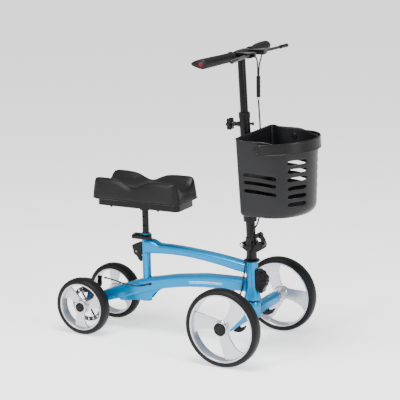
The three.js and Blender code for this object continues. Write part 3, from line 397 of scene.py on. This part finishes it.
def rim_solid(radius, hub_inside, first_blade):
    """The rim about its own centre, outboard towards -Y: a flanged barrel, a hub and swept blades."""
    solid = Solid()
    solid.turned([
        (radius - 22.5 * MM, -17 * MM), (radius - 21 * MM, -18 * MM), (radius - 16 * MM, -18 * MM),
        (radius - 15.2 * MM, -17.4 * MM), (radius - 15.4 * MM, -16.4 * MM), (radius - 19 * MM, -14 * MM),
        (radius - 19 * MM, 14 * MM), (radius - 15.4 * MM, 16.4 * MM), (radius - 15.2 * MM, 17.4 * MM),
        (radius - 16 * MM, 18 * MM), (radius - 21 * MM, 18 * MM), (radius - 22.5 * MM, 17 * MM),
    ], "Y", segments=96)
    solid.turned([
        (6.4 * MM, -21 * MM), (21 * MM, -21 * MM), (22 * MM, -20 * MM), (22 * MM, -9 * MM),
        (25 * MM, -7 * MM), (25 * MM, 0), (22 * MM, 5 * MM), (15 * MM, 6 * MM),
        (15 * MM, hub_inside - 1 * MM), (14 * MM, hub_inside), (6.4 * MM, hub_inside),
    ], "Y", segments=48)
    low = [(0.2, -72), (0.31, -50), (0.46, -36), (0.72, -27), (1.0, -20)]
    high = [(0.2, 30), (0.36, 15), (0.51, 12), (0.77, 12), (1.0, 20)]
    reach = radius - 20 * MM
    along, across = 18, 8
    for turn in (first_blade, first_blade + 120, first_blade + 240):
        front, back = [], []
        for i in range(along + 1):
            part = 0.2 + 0.8 * i / along
            from_angle, to_angle = smooth_value(low, part), smooth_value(high, part)
            for j in range(across + 1):
                v = j / across
                angle = math.radians(turn + from_angle + (to_angle - from_angle) * v)
                crown = 1.6 * MM * math.sin(math.pi * v)
                x, z = part * reach * math.cos(angle), part * reach * math.sin(angle)
                front.append((x, -6.4 * MM - crown, z))
                back.append((x, -0.4 * MM, z))
        count = len(front)
        row = across + 1
        faces = []
        for i in range(along):
            for j in range(across):
                a = i * row + j
                faces.append((a, a + 1, a + row + 1, a + row))
                faces.append((count + a, count + a + row, count + a + row + 1, count + a + 1))
            for a in (i * row, i * row + across):
                faces.append((a, a + row, count + a + row, count + a))
        for j in range(across):
            for a in (j, along * row + j):
                faces.append((a, a + 1, count + a + 1, count + a))
        solid.add(front + back, faces)
    return solid


def make_wheel(name, finishes):
    low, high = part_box(f"{name}_tyre")
    centre = (low + high) / 2
    radius = centre.z
    hub_inside = (20 if name.startswith("front") else 29) * MM
    flip = -1 if centre.y > 0 else 1
    body = f"wheel_{name}"

    def stand(solid):
        solid.verts = [centre + Vector((v.x * flip, v.y * flip, v.z)) for v in solid.verts]
        return solid

    piece(f"{name}_tyre_round", stand(Solid().turned(tyre_profile(radius), "Y", segments=96)),
          finishes["tyre_rubber"], body, [f"{name}_tyre"], crease=60)
    rim = stand(rim_solid(radius, hub_inside, WHEELS[name]))
    piece(f"{name}_rim_round", rim, finishes["rim_plastic"], body, [f"{name}_rim"],
          crease=40, edge=0.0009)
    cap = (21 if name.startswith("front") else 16) * MM
    piece(f"{name}_cap_round", stand(Solid().turned([
        (0.05 * MM, -24.9 * MM), (cap * 0.62, -24.9 * MM), (cap * 0.66, -23.9 * MM), (cap * 0.74, -23.9 * MM),
        (cap * 0.78, -24.9 * MM), (cap - 1.6 * MM, -24.5 * MM), (cap, -22.8 * MM), (cap, -21.6 * MM),
        (0.05 * MM, -21.6 * MM),
    ], "Y", segments=48)), finishes["black_plastic"], body, [f"{name}_hub_cap"])


# ---------------------------------------------------------------- main frame

# The beams' edges, as (x, z) in millimetres from the steering axis.
UPPER_TOP = [(-392, 325), (-362, 325), (-342, 316), (-308, 315), (-251, 313), (-194, 309),
             (-137, 304), (-81, 297), (-12, 286)]
UPPER_UNDERSIDE = [(-392, 276), (-339, 281), (-281, 283), (-223, 281), (-166, 275), (-110, 267),
                   (-54, 256), (-12, 250)]
LOWER_TOP = [(-590, 113), (-565, 127), (-520, 146), (-461, 169), (-430, 180), (-393, 191),
             (-341, 202), (-283, 214), (-225, 222), (-167, 229), (-111, 231), (-55, 232), (-14, 231)]
LOWER_UNDERSIDE = [(-590, 82), (-560, 89), (-531, 99), (-461, 121), (-393, 143), (-343, 159),
                   (-284, 172), (-226, 181), (-169, 186), (-112, 189), (-55, 190), (-14, 189)]
STRIPE_START, STRIPE_END, STRIPE_STEPS = -225, -95, 24


def beam(solid, top, underside, half, corner=11.0):
    """A beam with rounded edges between two curves, all in millimetres from the steering axis."""
    first, last = top[0][0], top[-1][0]
    rings = []
    for k in range(61):
        x = first + (last - first) * k / 60
        high, low = smooth_value(top, x), smooth_value(underside, x)
        pinch = max(0.0, 1 - (x - first) / 7) ** 2 if first < -500 else 0.0
        side = half - 4 * pinch
        high, low = high - 4 * pinch, low + 4 * pinch
        ring = []
        for sign_y, sign_z, quarter in ((1, 1, 0), (-1, 1, 1), (-1, -1, 2), (1, -1, 3)):
            z_centre = high - corner if sign_z > 0 else low + corner
            for step in range(7):
                angle = (quarter + step / 6) * math.pi / 2
                ring.append((
                    x,
                    sign_y * (side - corner) + corner * math.cos(angle),
                    z_centre + corner * math.sin(angle),
                ))
        rings.append(from_steering(ring))
    solid.rings(rings)


def make_frame(finishes):
    solid = Solid()
    beam(solid, UPPER_TOP, UPPER_UNDERSIDE, 18)
    beam(solid, LOWER_TOP, LOWER_UNDERSIDE, 22)
    head = [(19, 292), (19, 225), (20.5, 205), (24, 186), (28, 169), (28, 166), (27, 165), (19, 165),
            (15.3, 174), (15.3, 284), (17, 284), (17, 292)]
    solid.turned(in_metres(head), "Z", (STEER_X, 0, 0))
    seat = [(14.5, 113.5), (14.5, 341), (15.7, 341.5), (15.7, 344.5), (15, 345), (11.5, 345), (11.5, 113),
            (14, 113)]
    solid.turned(in_metres(seat), "Z", (SEAT_X, 0, 0))
    axle = [(15, -64), (16, -63), (16, 65), (15, 66), (6.3, 66), (6.3, -64)]
    solid.turned(in_metres(axle), "Y", (REAR_X, 0, REAR_AXLE_Z), segments=48)
    piece("frame_weldment", solid, finishes["blue_paint"], "frame", ["main_frame"], crease=42)

    plates = Solid()
    gusset = side_outline([
        (-505, 113), (-490, 104), (-464, 106), (-440, 112), (-409, 113), (-400, 112), (-390, 114),
        (-378, 121), (-357, 146), (-339, 156), (-339, 170), (-505, 124),
    ])
    caliper_lug = side_outline([(-602, 104), (-588, 148), (-560, 152), (-548, 132), (-562, 104)])
    lug_tie = side_outline([(-573, 112), (-547, 112), (-547, 124), (-573, 124)])
    plates.prism(gusset, -15 * MM, -11.8 * MM)
    plates.prism(gusset, 11.8 * MM, 15 * MM)
    plates.prism(caliper_lug, -62 * MM, -56 * MM)
    plates.prism(lug_tie, -59 * MM, -15 * MM)
    piece("frame_plates", plates, finishes["blue_paint"], "frame", edge=0.0025)

    stripes = Solid()
    for side in (-1, 1):
        for low, high in ((0.46, 0.52), (0.36, 0.39)):      # parts of the beam's height
            strip = []
            for k in range(STRIPE_STEPS + 1):
                x = STRIPE_START + (STRIPE_END - STRIPE_START) * k / STRIPE_STEPS
                under, top = smooth_value(LOWER_UNDERSIDE, x), smooth_value(LOWER_TOP, x)
                taper = min(1.0, (k + 0.1) / 2, (STRIPE_STEPS + 0.1 - k) / 2)
                middle = (low + high) / 2
                strip.append([
                    (x, side * 22.15, under + (top - under) * (middle + (part - middle) * taper))
                    for part in (low, high)
                ])
            verts = [v for pair in strip for v in from_steering(pair)]
            faces = [(2 * k, 2 * k + 1, 2 * k + 3, 2 * k + 2) for k in range(STRIPE_STEPS)]
            stripes.add(verts, faces)
    piece("frame_stripes", stripes, surface("stripe", (0.62, 0.66, 0.70), 0.35, mottle=0.03), "frame")


# ---------------------------------------------------------------- knee pad

PAD_BOTTOM, PAD_CHANNEL, PAD_WALL = 0.463, 0.507, 0.538


def pad_height(x, y):
    """The pad's top: a lengthwise channel between walls that each have a short valley."""
    wall = PAD_WALL - 0.022 * math.exp(-(((x + 0.008) / 0.043) ** 2))
    return PAD_CHANNEL + (wall - PAD_CHANNEL) * min(1.0, abs(y) / 0.058) ** 2.5


def pad_ring(inset, full, half_long=0.168, half=0.077, rounding=0.026, shrink=0.0):
    """Points round the pad's plan, drawn in by `inset`; `full` is the part of its height reached."""
    inset += shrink
    corner = max(rounding - inset, 0.004)
    reach_x, reach_y = half_long - 1.9 * inset - corner, half - inset - corner
    arcs = []
    for quarter, (sign_x, sign_y) in enumerate(((1, 1), (-1, 1), (-1, -1), (1, -1))):
        arcs.append([(
            sign_x * reach_x + corner * math.cos((quarter + k / 6) * math.pi / 2),
            sign_y * reach_y + corner * math.sin((quarter + k / 6) * math.pi / 2),
        ) for k in range(7)])
    ring = []
    for k, arc in enumerate(arcs):
        start, end = Vector(arc[-1]), Vector(arcs[(k + 1) % 4][0])
        steps = 26 if k % 2 == 0 else 12
        ring += arc + [tuple(start.lerp(end, i / steps)) for i in range(1, steps)]
    return [Vector((
        SEAT_X + 0.001 + x, y, PAD_BOTTOM + full * (pad_height(x, y) - shrink - PAD_BOTTOM),
    )) for x, y in ring]


def make_pad(finishes):
    shrink = 0.0015
    solid = Solid()
    levels = [(0.002, 0.0), (0.0005, 0.03), (0.0, 0.08), (0.0006, 0.24), (0.0014, 0.42), (0.0024, 0.62),
              (0.0034, 0.80), (0.0044, 0.89), (0.006, 0.95), (0.0085, 0.985), (0.012, 1.0), (0.018, 1.0),
              (0.025, 1.0), (0.034, 1.0), (0.044, 1.0), (0.054, 1.0), (0.063, 1.0), (0.070, 1.0),
              (0.0745, 1.0)]
    solid.rings([pad_ring(inset, full, shrink=shrink) for inset, full in levels])
    cover = piece("knee_pad_cover", solid, finishes["pad_cover"], "seat", ["knee_pad"],
                  crease=75)
    plump(cover)

    welt = closed_bead(pad_ring(0.0012, 0.06), 0.0011)
    piece("knee_pad_welt", welt, finishes["pad_cover"], "seat")


def plump(thing, voxel=0.004, pressure=2.5, cap=0.0018):
    """Remeshes a soft piece and swells it a little as cloth, with no point moving past `cap`."""
    scene = bpy.context.scene
    remesh = thing.modifiers.new("remesh", "REMESH")
    remesh.mode = "VOXEL"
    remesh.voxel_size = voxel
    graph = bpy.context.evaluated_depsgraph_get()
    start = bpy.data.meshes.new_from_object(thing.evaluated_get(graph))
    thing.modifiers.remove(remesh)
    thing.data = start
    before = np.zeros(len(start.vertices) * 3, np.float32)
    start.vertices.foreach_get("co", before)

    base = thing.vertex_groups.new(name="board")
    low = [v.index for v in start.vertices if v.co.z < PAD_BOTTOM + 0.004]
    base.add(low, 1.0, "ADD")
    cloth = thing.modifiers.new("cloth", "CLOTH")
    cloth.settings.use_pressure = True
    cloth.settings.uniform_pressure_force = pressure
    cloth.settings.vertex_group_mass = "board"
    cloth.settings.effector_weights.gravity = 0.0
    cloth.point_cache.frame_start = 1
    cloth.point_cache.frame_end = 16
    for number in range(1, 17):
        scene.frame_set(number)
    graph = bpy.context.evaluated_depsgraph_get()
    swollen = bpy.data.meshes.new_from_object(thing.evaluated_get(graph))
    after = np.zeros(len(swollen.vertices) * 3, np.float32)
    swollen.vertices.foreach_get("co", after)
    move = (after - before).reshape(-1, 3)
    length = np.linalg.norm(move, axis=1, keepdims=True)
    move *= np.minimum(1.0, cap / np.maximum(length, 1e-9))
    swollen.vertices.foreach_set("co", (before.reshape(-1, 3) + move).ravel())
    thing.modifiers.remove(cloth)
    thing.vertex_groups.clear()
    thing.data = swollen
    swollen.polygons.foreach_set("use_smooth", [True] * len(swollen.polygons))
    scene.frame_set(1)
    even = thing.modifiers.new("even", "SMOOTH")
    even.factor = 0.5
    even.iterations = 2
    fine = thing.modifiers.new("fine", "SUBSURF")
    fine.levels = 1
    fine.render_levels = 1


def make_tray_screws(finishes):
    """Round screw heads under the tray's skirt."""
    low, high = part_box("pad_tray")
    screws = Solid()
    for y in (low.y + 0.0016, high.y - 0.0016):
        for x in (low.x + 0.055, high.x - 0.075):
            screws.turned([
                (0.0001, 0.0168), (0.0045, 0.0168), (0.0045, 0.0145), (0.0032, 0.0125), (0.0001, 0.012),
            ], "Z", (x, y, low.z), segments=20)
    piece("tray_screws", screws, finishes["satin_black"], "seat")


# ---------------------------------------------------------------- basket

BASKET_FLOOR, BASKET_RIM, BASKET_WALL = 466.0, 711.0, 2.6
SIDE_ROWS = ((546.5, 557.5), (573.5, 584.5), (597.5, 608.5))
CORNER_ROWS = ((507, 519), (533, 545), (559, 571), (586, 598), (612.5, 624.5), (639, 651))


def basket_outline(z):
    """Points round the basket's plan at a height, and each one's name for the slots to find."""
    up = (z - BASKET_FLOOR) / (BASKET_RIM - BASKET_FLOOR)
    height = z - BASKET_FLOOR

    def round_in(radius):
        below = max(0.0, radius - height)
        return radius - math.sqrt(radius * radius - below * below)

    back = 20 - 7 * up + round_in(10)
    half = 118 + 11 * up - round_in(14)
    reach = 113 + 8 * up - round_in(30)
    centre, corner = 105.0, 11.0
    points, tags = [], []
    for k in range(7):
        angle = math.pi + k * math.pi / 12
        points.append((back + corner + corner * math.cos(angle), corner - half + corner * math.sin(angle)))
        tags.append("back")
    side_end = back + corner
    stations = [39.0 + (centre - 39.0) * k / 5 for k in range(5)]
    for x in stations:
        points.append((max(x, side_end + 0.5), -half))
        tags.append("side")
    angles = [-90, -83, -76, -70, -64, -58, -53, -45, -37, -29, -20, -13, -6.5, 0]
    angles += [-a for a in reversed(angles[:-1])]
    for degrees in angles:
        slot = abs(degrees)
        points.append(ellipse_point(centre, reach, half, degrees))
        tags.append("side" if slot >= 70 else "corner" if 20 <= slot <= 53 else "front")
    for x in reversed(stations):
        points.append((max(x, side_end + 0.5), half))
        tags.append("side")
    for k in range(7):
        angle = math.pi / 2 + k * math.pi / 12
        points.append((back + corner + corner * math.cos(angle), half - corner + corner * math.sin(angle)))
        tags.append("back")
    return points, tags


def ellipse_point(centre, reach, half, degrees):
    """The ellipse's point in a direction seen from its centre."""
    c, s = math.cos(math.radians(degrees)), math.sin(math.radians(degrees))
    far = 1 / math.sqrt((c / reach) ** 2 + (s / half) ** 2)
    return (centre + far * c, far * s)


def basket_rim_height(x, y):
    if abs(y) < 26 and x < 60:
        return 700.0
    if x < 30:
        return 715.0
    return 711.0 - 10.5 * min(1.0, max(0.0, (x - 108) / 45)) ** 1.5


def slot_sag(x, z):
    """The side slots are arched and fall towards the front; rows near them bend the same way."""
    t = (x - 39) / 108
    near = min(1.0, max(0.0, (z - 490) / 55), max(0.0, (672 - z) / 60))
    fall = -8 * t + 26 * max(0.0, t) * max(0.0, 1 - t) * 0.35
    ends = min(1.0, max(0.0, (190 - x) / 40))
    return fall * near * ends if 0 < t else 0.0


def make_basket(finishes):
    rows = sorted({z for pair in SIDE_ROWS + CORNER_ROWS for z in pair})
    heights = [466, 467.5, 471, 477, 486, 497] + rows + [668, 688, 700, BASKET_RIM]
    verts, faces = [], []
    tags = basket_outline(BASKET_FLOOR)[1]
    count = len(tags)
    for z in heights:
        points, _ = basket_outline(z)
        for x, y in points:
            level = z + slot_sag(x, z)
            if z > 660:
                level = 660 + (z - 660) * (basket_rim_height(x, y) - 660) / (BASKET_RIM - 660)
            verts.append((x, y, level))
    for k in range(len(heights) - 1):
        for i in range(count):
            j = (i + 1) % count
            pair = {tags[i], tags[j]}
            start = heights[k]
            if pair == {"side"} and any(low <= start < high for low, high in SIDE_ROWS):
                continue
            if pair == {"corner"} and any(low <= start < high for low, high in CORNER_ROWS):
                continue
            a, b = k * count, (k + 1) * count
            faces.append((a + i, a + j, b + j, b + i))
    rings = 7
    middle = Vector((118.0, 0.0, BASKET_FLOOR))
    for r in range(1, rings):
        for i in range(count):
            edge = Vector(verts[i])
            verts.append(tuple(edge.lerp(middle, r / rings)))
    first = len(heights) * count
    bottom = [list(range(count))] + [
        list(range(first + r * count, first + (r + 1) * count)) for r in range(rings - 1)
    ]
    for inner, outer in zip(bottom[1:], bottom[:-1]):
        for i in range(count):
            j = (i + 1) % count
            faces.append((inner[i], inner[j], outer[j], outer[i]))
    faces.append(tuple(reversed(bottom[-1])))

    solid = Solid().add(from_steering(verts), faces)
    shell = piece("basket_shell", solid, finishes["basket_plastic"], "basket_unit",
                  ["basket"], crease=50)
    thick = shell.modifiers.new("wall", "SOLIDIFY")
    thick.thickness = BASKET_WALL * MM
    thick.offset = -1.0
    thick.use_even_offset = True
    fine = shell.modifiers.new("fine", "SUBSURF")
    fine.levels = 1
    fine.render_levels = 2
    soften_edges(shell, 0.0006, 50)

    top = (len(heights) - 1) * count
    points, _ = basket_outline(BASKET_RIM)
    lip = [Vector((x, y, verts[top + i][2] - 1.2)) for i, (x, y) in enumerate(points)]
    bead = closed_bead([Vector((p.x * MM + STEER_X, p.y * MM, p.z * MM)) for p in lip], 2.1 * MM)
    piece("basket_lip", bead, finishes["gloss_black"], "basket_unit", crease=80)

    hook = Solid()
    hook.prism(side_outline([
        (4.9, 690), (6.5, 690), (6.5, 700.1), (15.8, 700.1), (15.8, 702.6), (4.9, 702.6),
    ]), -16 * MM, 16 * MM)
    piece("basket_hook", hook, finishes["basket_plastic"], "basket_unit", edge=0.0005)


def make_handle(finishes):
    """The band round the basket's front, tilted up a little, with its two round bosses."""
    pivot_x, pivot_z, tilt = 97.0, 685.0, math.radians(3)
    path = [(86, -134.4)] + [
        (105 + 126.9 * math.cos(a), 134.4 * math.sin(a))
        for a in (math.radians(-90 + 180 * k / 64) for k in range(65))
    ] + [(86, 134.4)]
    section = [(-1.6, -18.4), (1.0, -18.5), (1.6, -17.6), (1.6, -14.6), (0.9, -13.8), (0.9, 13.8),
               (1.6, 14.6), (1.6, 17.6), (1.0, 18.5), (-1.6, 18.4)]
    rings = []
    for k, (x, y) in enumerate(path):
        ahead = Vector(path[min(k + 1, len(path) - 1)]) - Vector(path[max(k - 1, 0)])
        ahead.normalize()
        out = Vector((ahead.y, -ahead.x))
        rings.append([(x + out.x * s, y + out.y * s, pivot_z + z) for s, z in section])
    solid = Solid().rings(rings)
    for side in (-1, 1):
        solid.turned([
            (0.05, side * 136.6), (5, side * 136.6), (5.6, side * 135.6), (11, side * 135.6),
            (12, side * 137), (16.8, side * 137), (18.3, side * 135.4), (18.3, side * 132.5),
            (0.05, side * 132.5),
        ], "Y", (pivot_x, 0, pivot_z), segments=40)
        solid.turned([
            (0.05, side * 119), (7.5, side * 119), (8.5, side * 120), (8.5, side * 123.4), (5, side * 123.6),
            (5, side * 133), (0.05, side * 133),
        ], "Y", (pivot_x, 0, pivot_z), segments=32)
    turned = []
    for v in solid.verts:
        x, z = v.x - pivot_x, v.z - pivot_z
        turned.append((
            pivot_x + x * math.cos(tilt) - z * math.sin(tilt), v.y,
            pivot_z + x * math.sin(tilt) + z * math.cos(tilt),
        ))
    solid.verts = from_steering(turned)
    piece("basket_handle_band", solid, finishes["handle_plastic"], "carrying_handle",
          ["basket_handle"], crease=40)


# ---------------------------------------------------------------- grips

def make_grip(side, finishes):
    """A palm-winged grip with fine ribs under the fingers, and a red plug in its end."""
    name = "right" if side < 0 else "left"
    bend = 46
    sweep = math.atan2(21, 216 - bend)
    along = Vector((-math.sin(sweep), side * math.cos(sweep)))
    out = Vector((math.cos(sweep), side * math.sin(sweep)))

    def on_bar(s, x, z):
        """A point at s along the swept bar end, x in front of its middle and z above it."""
        spot = Vector((0, side * bend)) + along * s + out * x
        return on_column(spot.x * MM, spot.y * MM, BAR_UP + z * MM)

    sizes = [(16, 17.2, 0), (20, 17.4, 0), (21.5, 15, 1), (60, 15, 5), (105, 15.6, 10), (135, 16, 18),
             (158, 16.3, 26.5), (170, 16.2, 26.5), (174, 15.2, 24.5), (175.5, 13.6, 21)]
    places = [16, 17, 19, 20, 20.8, 21.5] + [22 + 1.5 * k for k in range(99)]
    places += [171.5, 173, 174.3, 175.2, 175.5]
    rings = []
    for s in places:
        radius = float(np.interp(s, [p for p, _, _ in sizes], [r for _, r, _ in sizes]))
        wing = float(np.interp(s, [p for p, _, _ in sizes], [w for _, _, w in sizes]))
        if 30 < s < 150 and int(s / 3) % 2 == 0:
            radius -= 0.5
        ring = []
        for k in range(40):
            angle = 2 * math.pi * k / 40
            back = max(0.0, -math.cos(angle))
            x = (radius + (wing if back > 0 else 0)) * math.cos(angle)
            z = radius * math.sin(angle) * (1 - 0.42 * back * wing / 32)
            ring.append(on_bar(s, x, z))
        rings.append(ring)
    piece(f"{name}_grip_ribbed", Solid().rings(rings), finishes["grip_rubber"], "bars",
          [f"{name}_grip"], crease=50)

    rings = []
    for s, radius in ((174.5, 7), (175.9, 7), (176.4, 6.5), (176.5, 5), (176.1, 4.4), (176.1, 0.05)):
        ring = []
        for k in range(28):
            angle = 2 * math.pi * k / 28
            ring.append(on_bar(s, radius * math.cos(angle) - 2, radius * math.sin(angle)))
        rings.append(ring)
    red = surface(f"{name}_plug", (0.13, 0.002, 0.004), 0.35, mottle=0.5, cloud=300, shine=0.2)
    piece(f"{name}_grip_plug", Solid().rings(rings), red, "bars")


# ---------------------------------------------------------------- cables

def make_cables(finishes):
    sheath = finishes["cable_sheath"]
    for side, name in ((-1, "right"), (1, "left")):
        path = smooth_path(from_steering([
            (35.5, side * 23.9, 957), (37, side * 14, 946), (35, side * 6, 925), (34, side * 3.2, 892.8),
        ]), 10)
        piece(f"{name}_lever_cable_round", tube(path, 2.2 * MM), sheath, "bars",
              [f"{name}_lever_cable"], crease=60)

    column = from_steering([
        (33, 0, 817.5), (24, 22, 775), (8, 58, 718), (6, 62, 650), (12, 44, 540), (13, 36, 500),
        (16, 28, 474), (23, 16, 448), (24, -2, 420), (18.7, -20, 398), (8, -24, 357),
    ])
    path = smooth_path(column, 12)
    split = 4 * 12
    upper = piece("column_cable_upper", tube(path[:split + 1], 2.5 * MM), sheath, None,
                  ["column_cable"], crease=60)
    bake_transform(upper)
    lower = piece("column_cable_lower", tube(path[split:], 2.5 * MM), sheath, None,
                  ["column_cable"], crease=60)
    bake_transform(lower)

    head = smooth_path(from_steering([
        (8, -24, 357), (-1, -29.8, 315), (-7, -30, 296), (-17, -26.5, 242), (-24, -26.5, 205),
        (-31, -24, 184), (-40, -14, 169), (-54, -4, 164), (-67, 0, 171), (-72, 0, 178.6),
    ]), 12)
    neck = piece("head_cable_round", tube(head, 2.5 * MM), sheath, None,
                 ["head_cable"], crease=60)
    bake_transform(neck)

    exit_at, exit_way = Vector((-370, -20.5, 176.5)), Vector((-0.85, -0.5, -0.16))
    inside = [(-72, 0, 196.2), (-84, 0, 203.6), (-120, 0, 208), (-200, 0, 205), (-290, -2, 194)]
    outside = [(-408, -32, 168), (-451, -40, 171), (-493, -51, 184), (-512, -57, 189.2), (-525, -58.9, 191.3)]
    route = [Vector(p) for p in inside] + [exit_at + exit_way * s for s in (-14, -5, 5, 14)]
    route += [Vector(p) for p in outside]
    path = smooth_path(from_steering(route), 10)
    piece("frame_cable_round", tube(path, 2.5 * MM), sheath, "frame", ["frame_cable"],
          crease=60)
    ferrule = tube(from_steering([(-515, -57.5, 189.7), (-525.2, -58.9, 191.3)]), 3.3 * MM)
    piece("cable_end_ferrule", ferrule, finishes["satin_black"], "frame")
    bare = smooth_path(from_steering([(-525.4, -58.9, 191.3), (-529, -59, 191.8), (-533.2, -59, 192)]), 4)
    wire = piece("caliper_inner_wire", tube(bare, 0.8 * MM, 10), finishes["bright_steel"], None)
    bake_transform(wire)
    low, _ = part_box("cable_splitter")
    sleeve = Solid().turned([
        (0.0001, 0.0), (0.0047, 0.0), (0.0047, 0.0105), (0.0001, 0.0105),
    ], "Z", (STEER_X + 0.033, 0, low.z), segments=24)
    piece("splitter_ferrule", sleeve, finishes["bright_steel"], "bars", edge=0.0004)


# ---------------------------------------------------------------- small fittings

KNOB_UP = 392                                   # millimetres up the column
HEAD_BLOCK_FACES = ((-1, -13), (1, 15))         # each side, and its face's y in millimetres


def make_knob(finishes):
    """A six-lobed hand knob with a domed face, on its screw."""
    rings = []
    for along, size in ((-60.4, 0.05), (-60.4, 0.5), (-60, 0.86), (-58.4, 0.97), (-55, 1.0), (-48, 1.0),
                        (-45.5, 0.96), (-44.4, 0.86), (-43, 0.52), (-36, 0.42), (-30, 0.38), (-30, 0.05)):
        ring = []
        for i in range(72):
            angle = 2 * math.pi * i / 72
            radius = 17.2 if size < 0.6 else 17.2 + 3.6 * math.cos(6 * angle)
            ring.append(on_column(
                along * MM, radius * size * math.cos(angle) * MM,
                (KNOB_UP + radius * size * math.sin(angle)) * MM,
            ))
        rings.append(ring)
    solid = Solid().rings(rings)
    screw = tube([on_column(x * MM, 0, KNOB_UP * MM) for x in (-31, -17.3)], 4 * MM, 20)
    solid.add(screw.verts, screw.faces)
    piece("column_knob_lobed", solid, finishes["black_plastic"], "height_knob",
          ["column_knob"], crease=45)


def make_fittings(finishes):
    sleeves = Solid()
    for side in (-1, 1):
        sleeves.turned(in_metres([
            (6.5, side * 171), (12, side * 171), (13, side * 172), (13, side * 177),
            (10.6, side * 178), (10.6, side * 185.2), (6.5, side * 185.2),
        ]), "Y", (STEER_X, 0, FRONT_AXLE_Z), segments=40)
    piece("front_axle_sleeves", sleeves, finishes["bright_steel"], "fork", crease=40)

    screws = Solid()
    for x, z, radius in ((33, 250, 4.5), (40, 232, 3.2), (33, 205, 4)):
        for side, face in HEAD_BLOCK_FACES:
            profile = [(0.05, face + side * 1.2), (radius * 0.5, face + side * 1.2),
                       (radius * 0.6, face + side * 2.2), (radius * 0.9, face + side * 1.8),
                       (radius, face + side * 0.6), (radius, face - side * 1), (0.05, face - side * 1)]
            screws.turned(in_metres(profile), "Y", (STEER_X + x * MM, 0, z * MM), segments=24)
    piece("head_block_screws", screws, finishes["satin_black"], "frame", crease=40)

    ribs = Solid()
    for z in (262, 241, 219):
        for side, face in HEAD_BLOCK_FACES:
            outline = [(24, z - 3), (44, z - 7), (46, z - 5.4), (26, z - 1)]
            near, far = sorted(((face - side * 0.5) * MM, (face + side * 1.5) * MM))
            ribs.prism(side_outline(outline), near, far)
    piece("head_block_ribs", ribs, finishes["black_plastic"], "frame", edge=0.0004)


# ---------------------------------------------------------------- carried-over nodes

SPECIAL_FINISH = {
    "brake_rotor": "disc_steel", "seat_lock_pin": "disc_steel", "handlebar": "gloss_black",
    "right_brake_lever": "gloss_black", "left_brake_lever": "gloss_black",
    "right_lever_perch": "gloss_black", "left_lever_perch": "gloss_black",
}


def finish_cad_nodes(finishes):
    slot_of = {entry["node"]: entry["material_slot"] for entry in frame["record"]["subparts"]}
    for name, node in nodes.items():
        mesh = node.data
        mesh.materials.clear()
        mesh.materials.append(finishes[SPECIAL_FINISH.get(name, slot_of[name])])
        if mesh.attributes.get("custom_normal"):
            mesh.attributes.remove(mesh.attributes["custom_normal"])
        mesh.polygons.foreach_set("use_smooth", [True] * len(mesh.polygons))
        weld = node.modifiers.new("weld", "WELD")
        weld.merge_threshold = 1e-5
        soften_edges(node, 0.0007, 39)


make_camera()
make_studio()
finishes = make_finishes()
finish_cad_nodes(finishes)
for wheel in WHEELS:
    make_wheel(wheel, finishes)
make_frame(finishes)
make_pad(finishes)
make_tray_screws(finishes)
make_basket(finishes)
make_handle(finishes)
for hand in (-1, 1):
    make_grip(hand, finishes)
make_cables(finishes)
make_knob(finishes)
make_fittings(finishes)
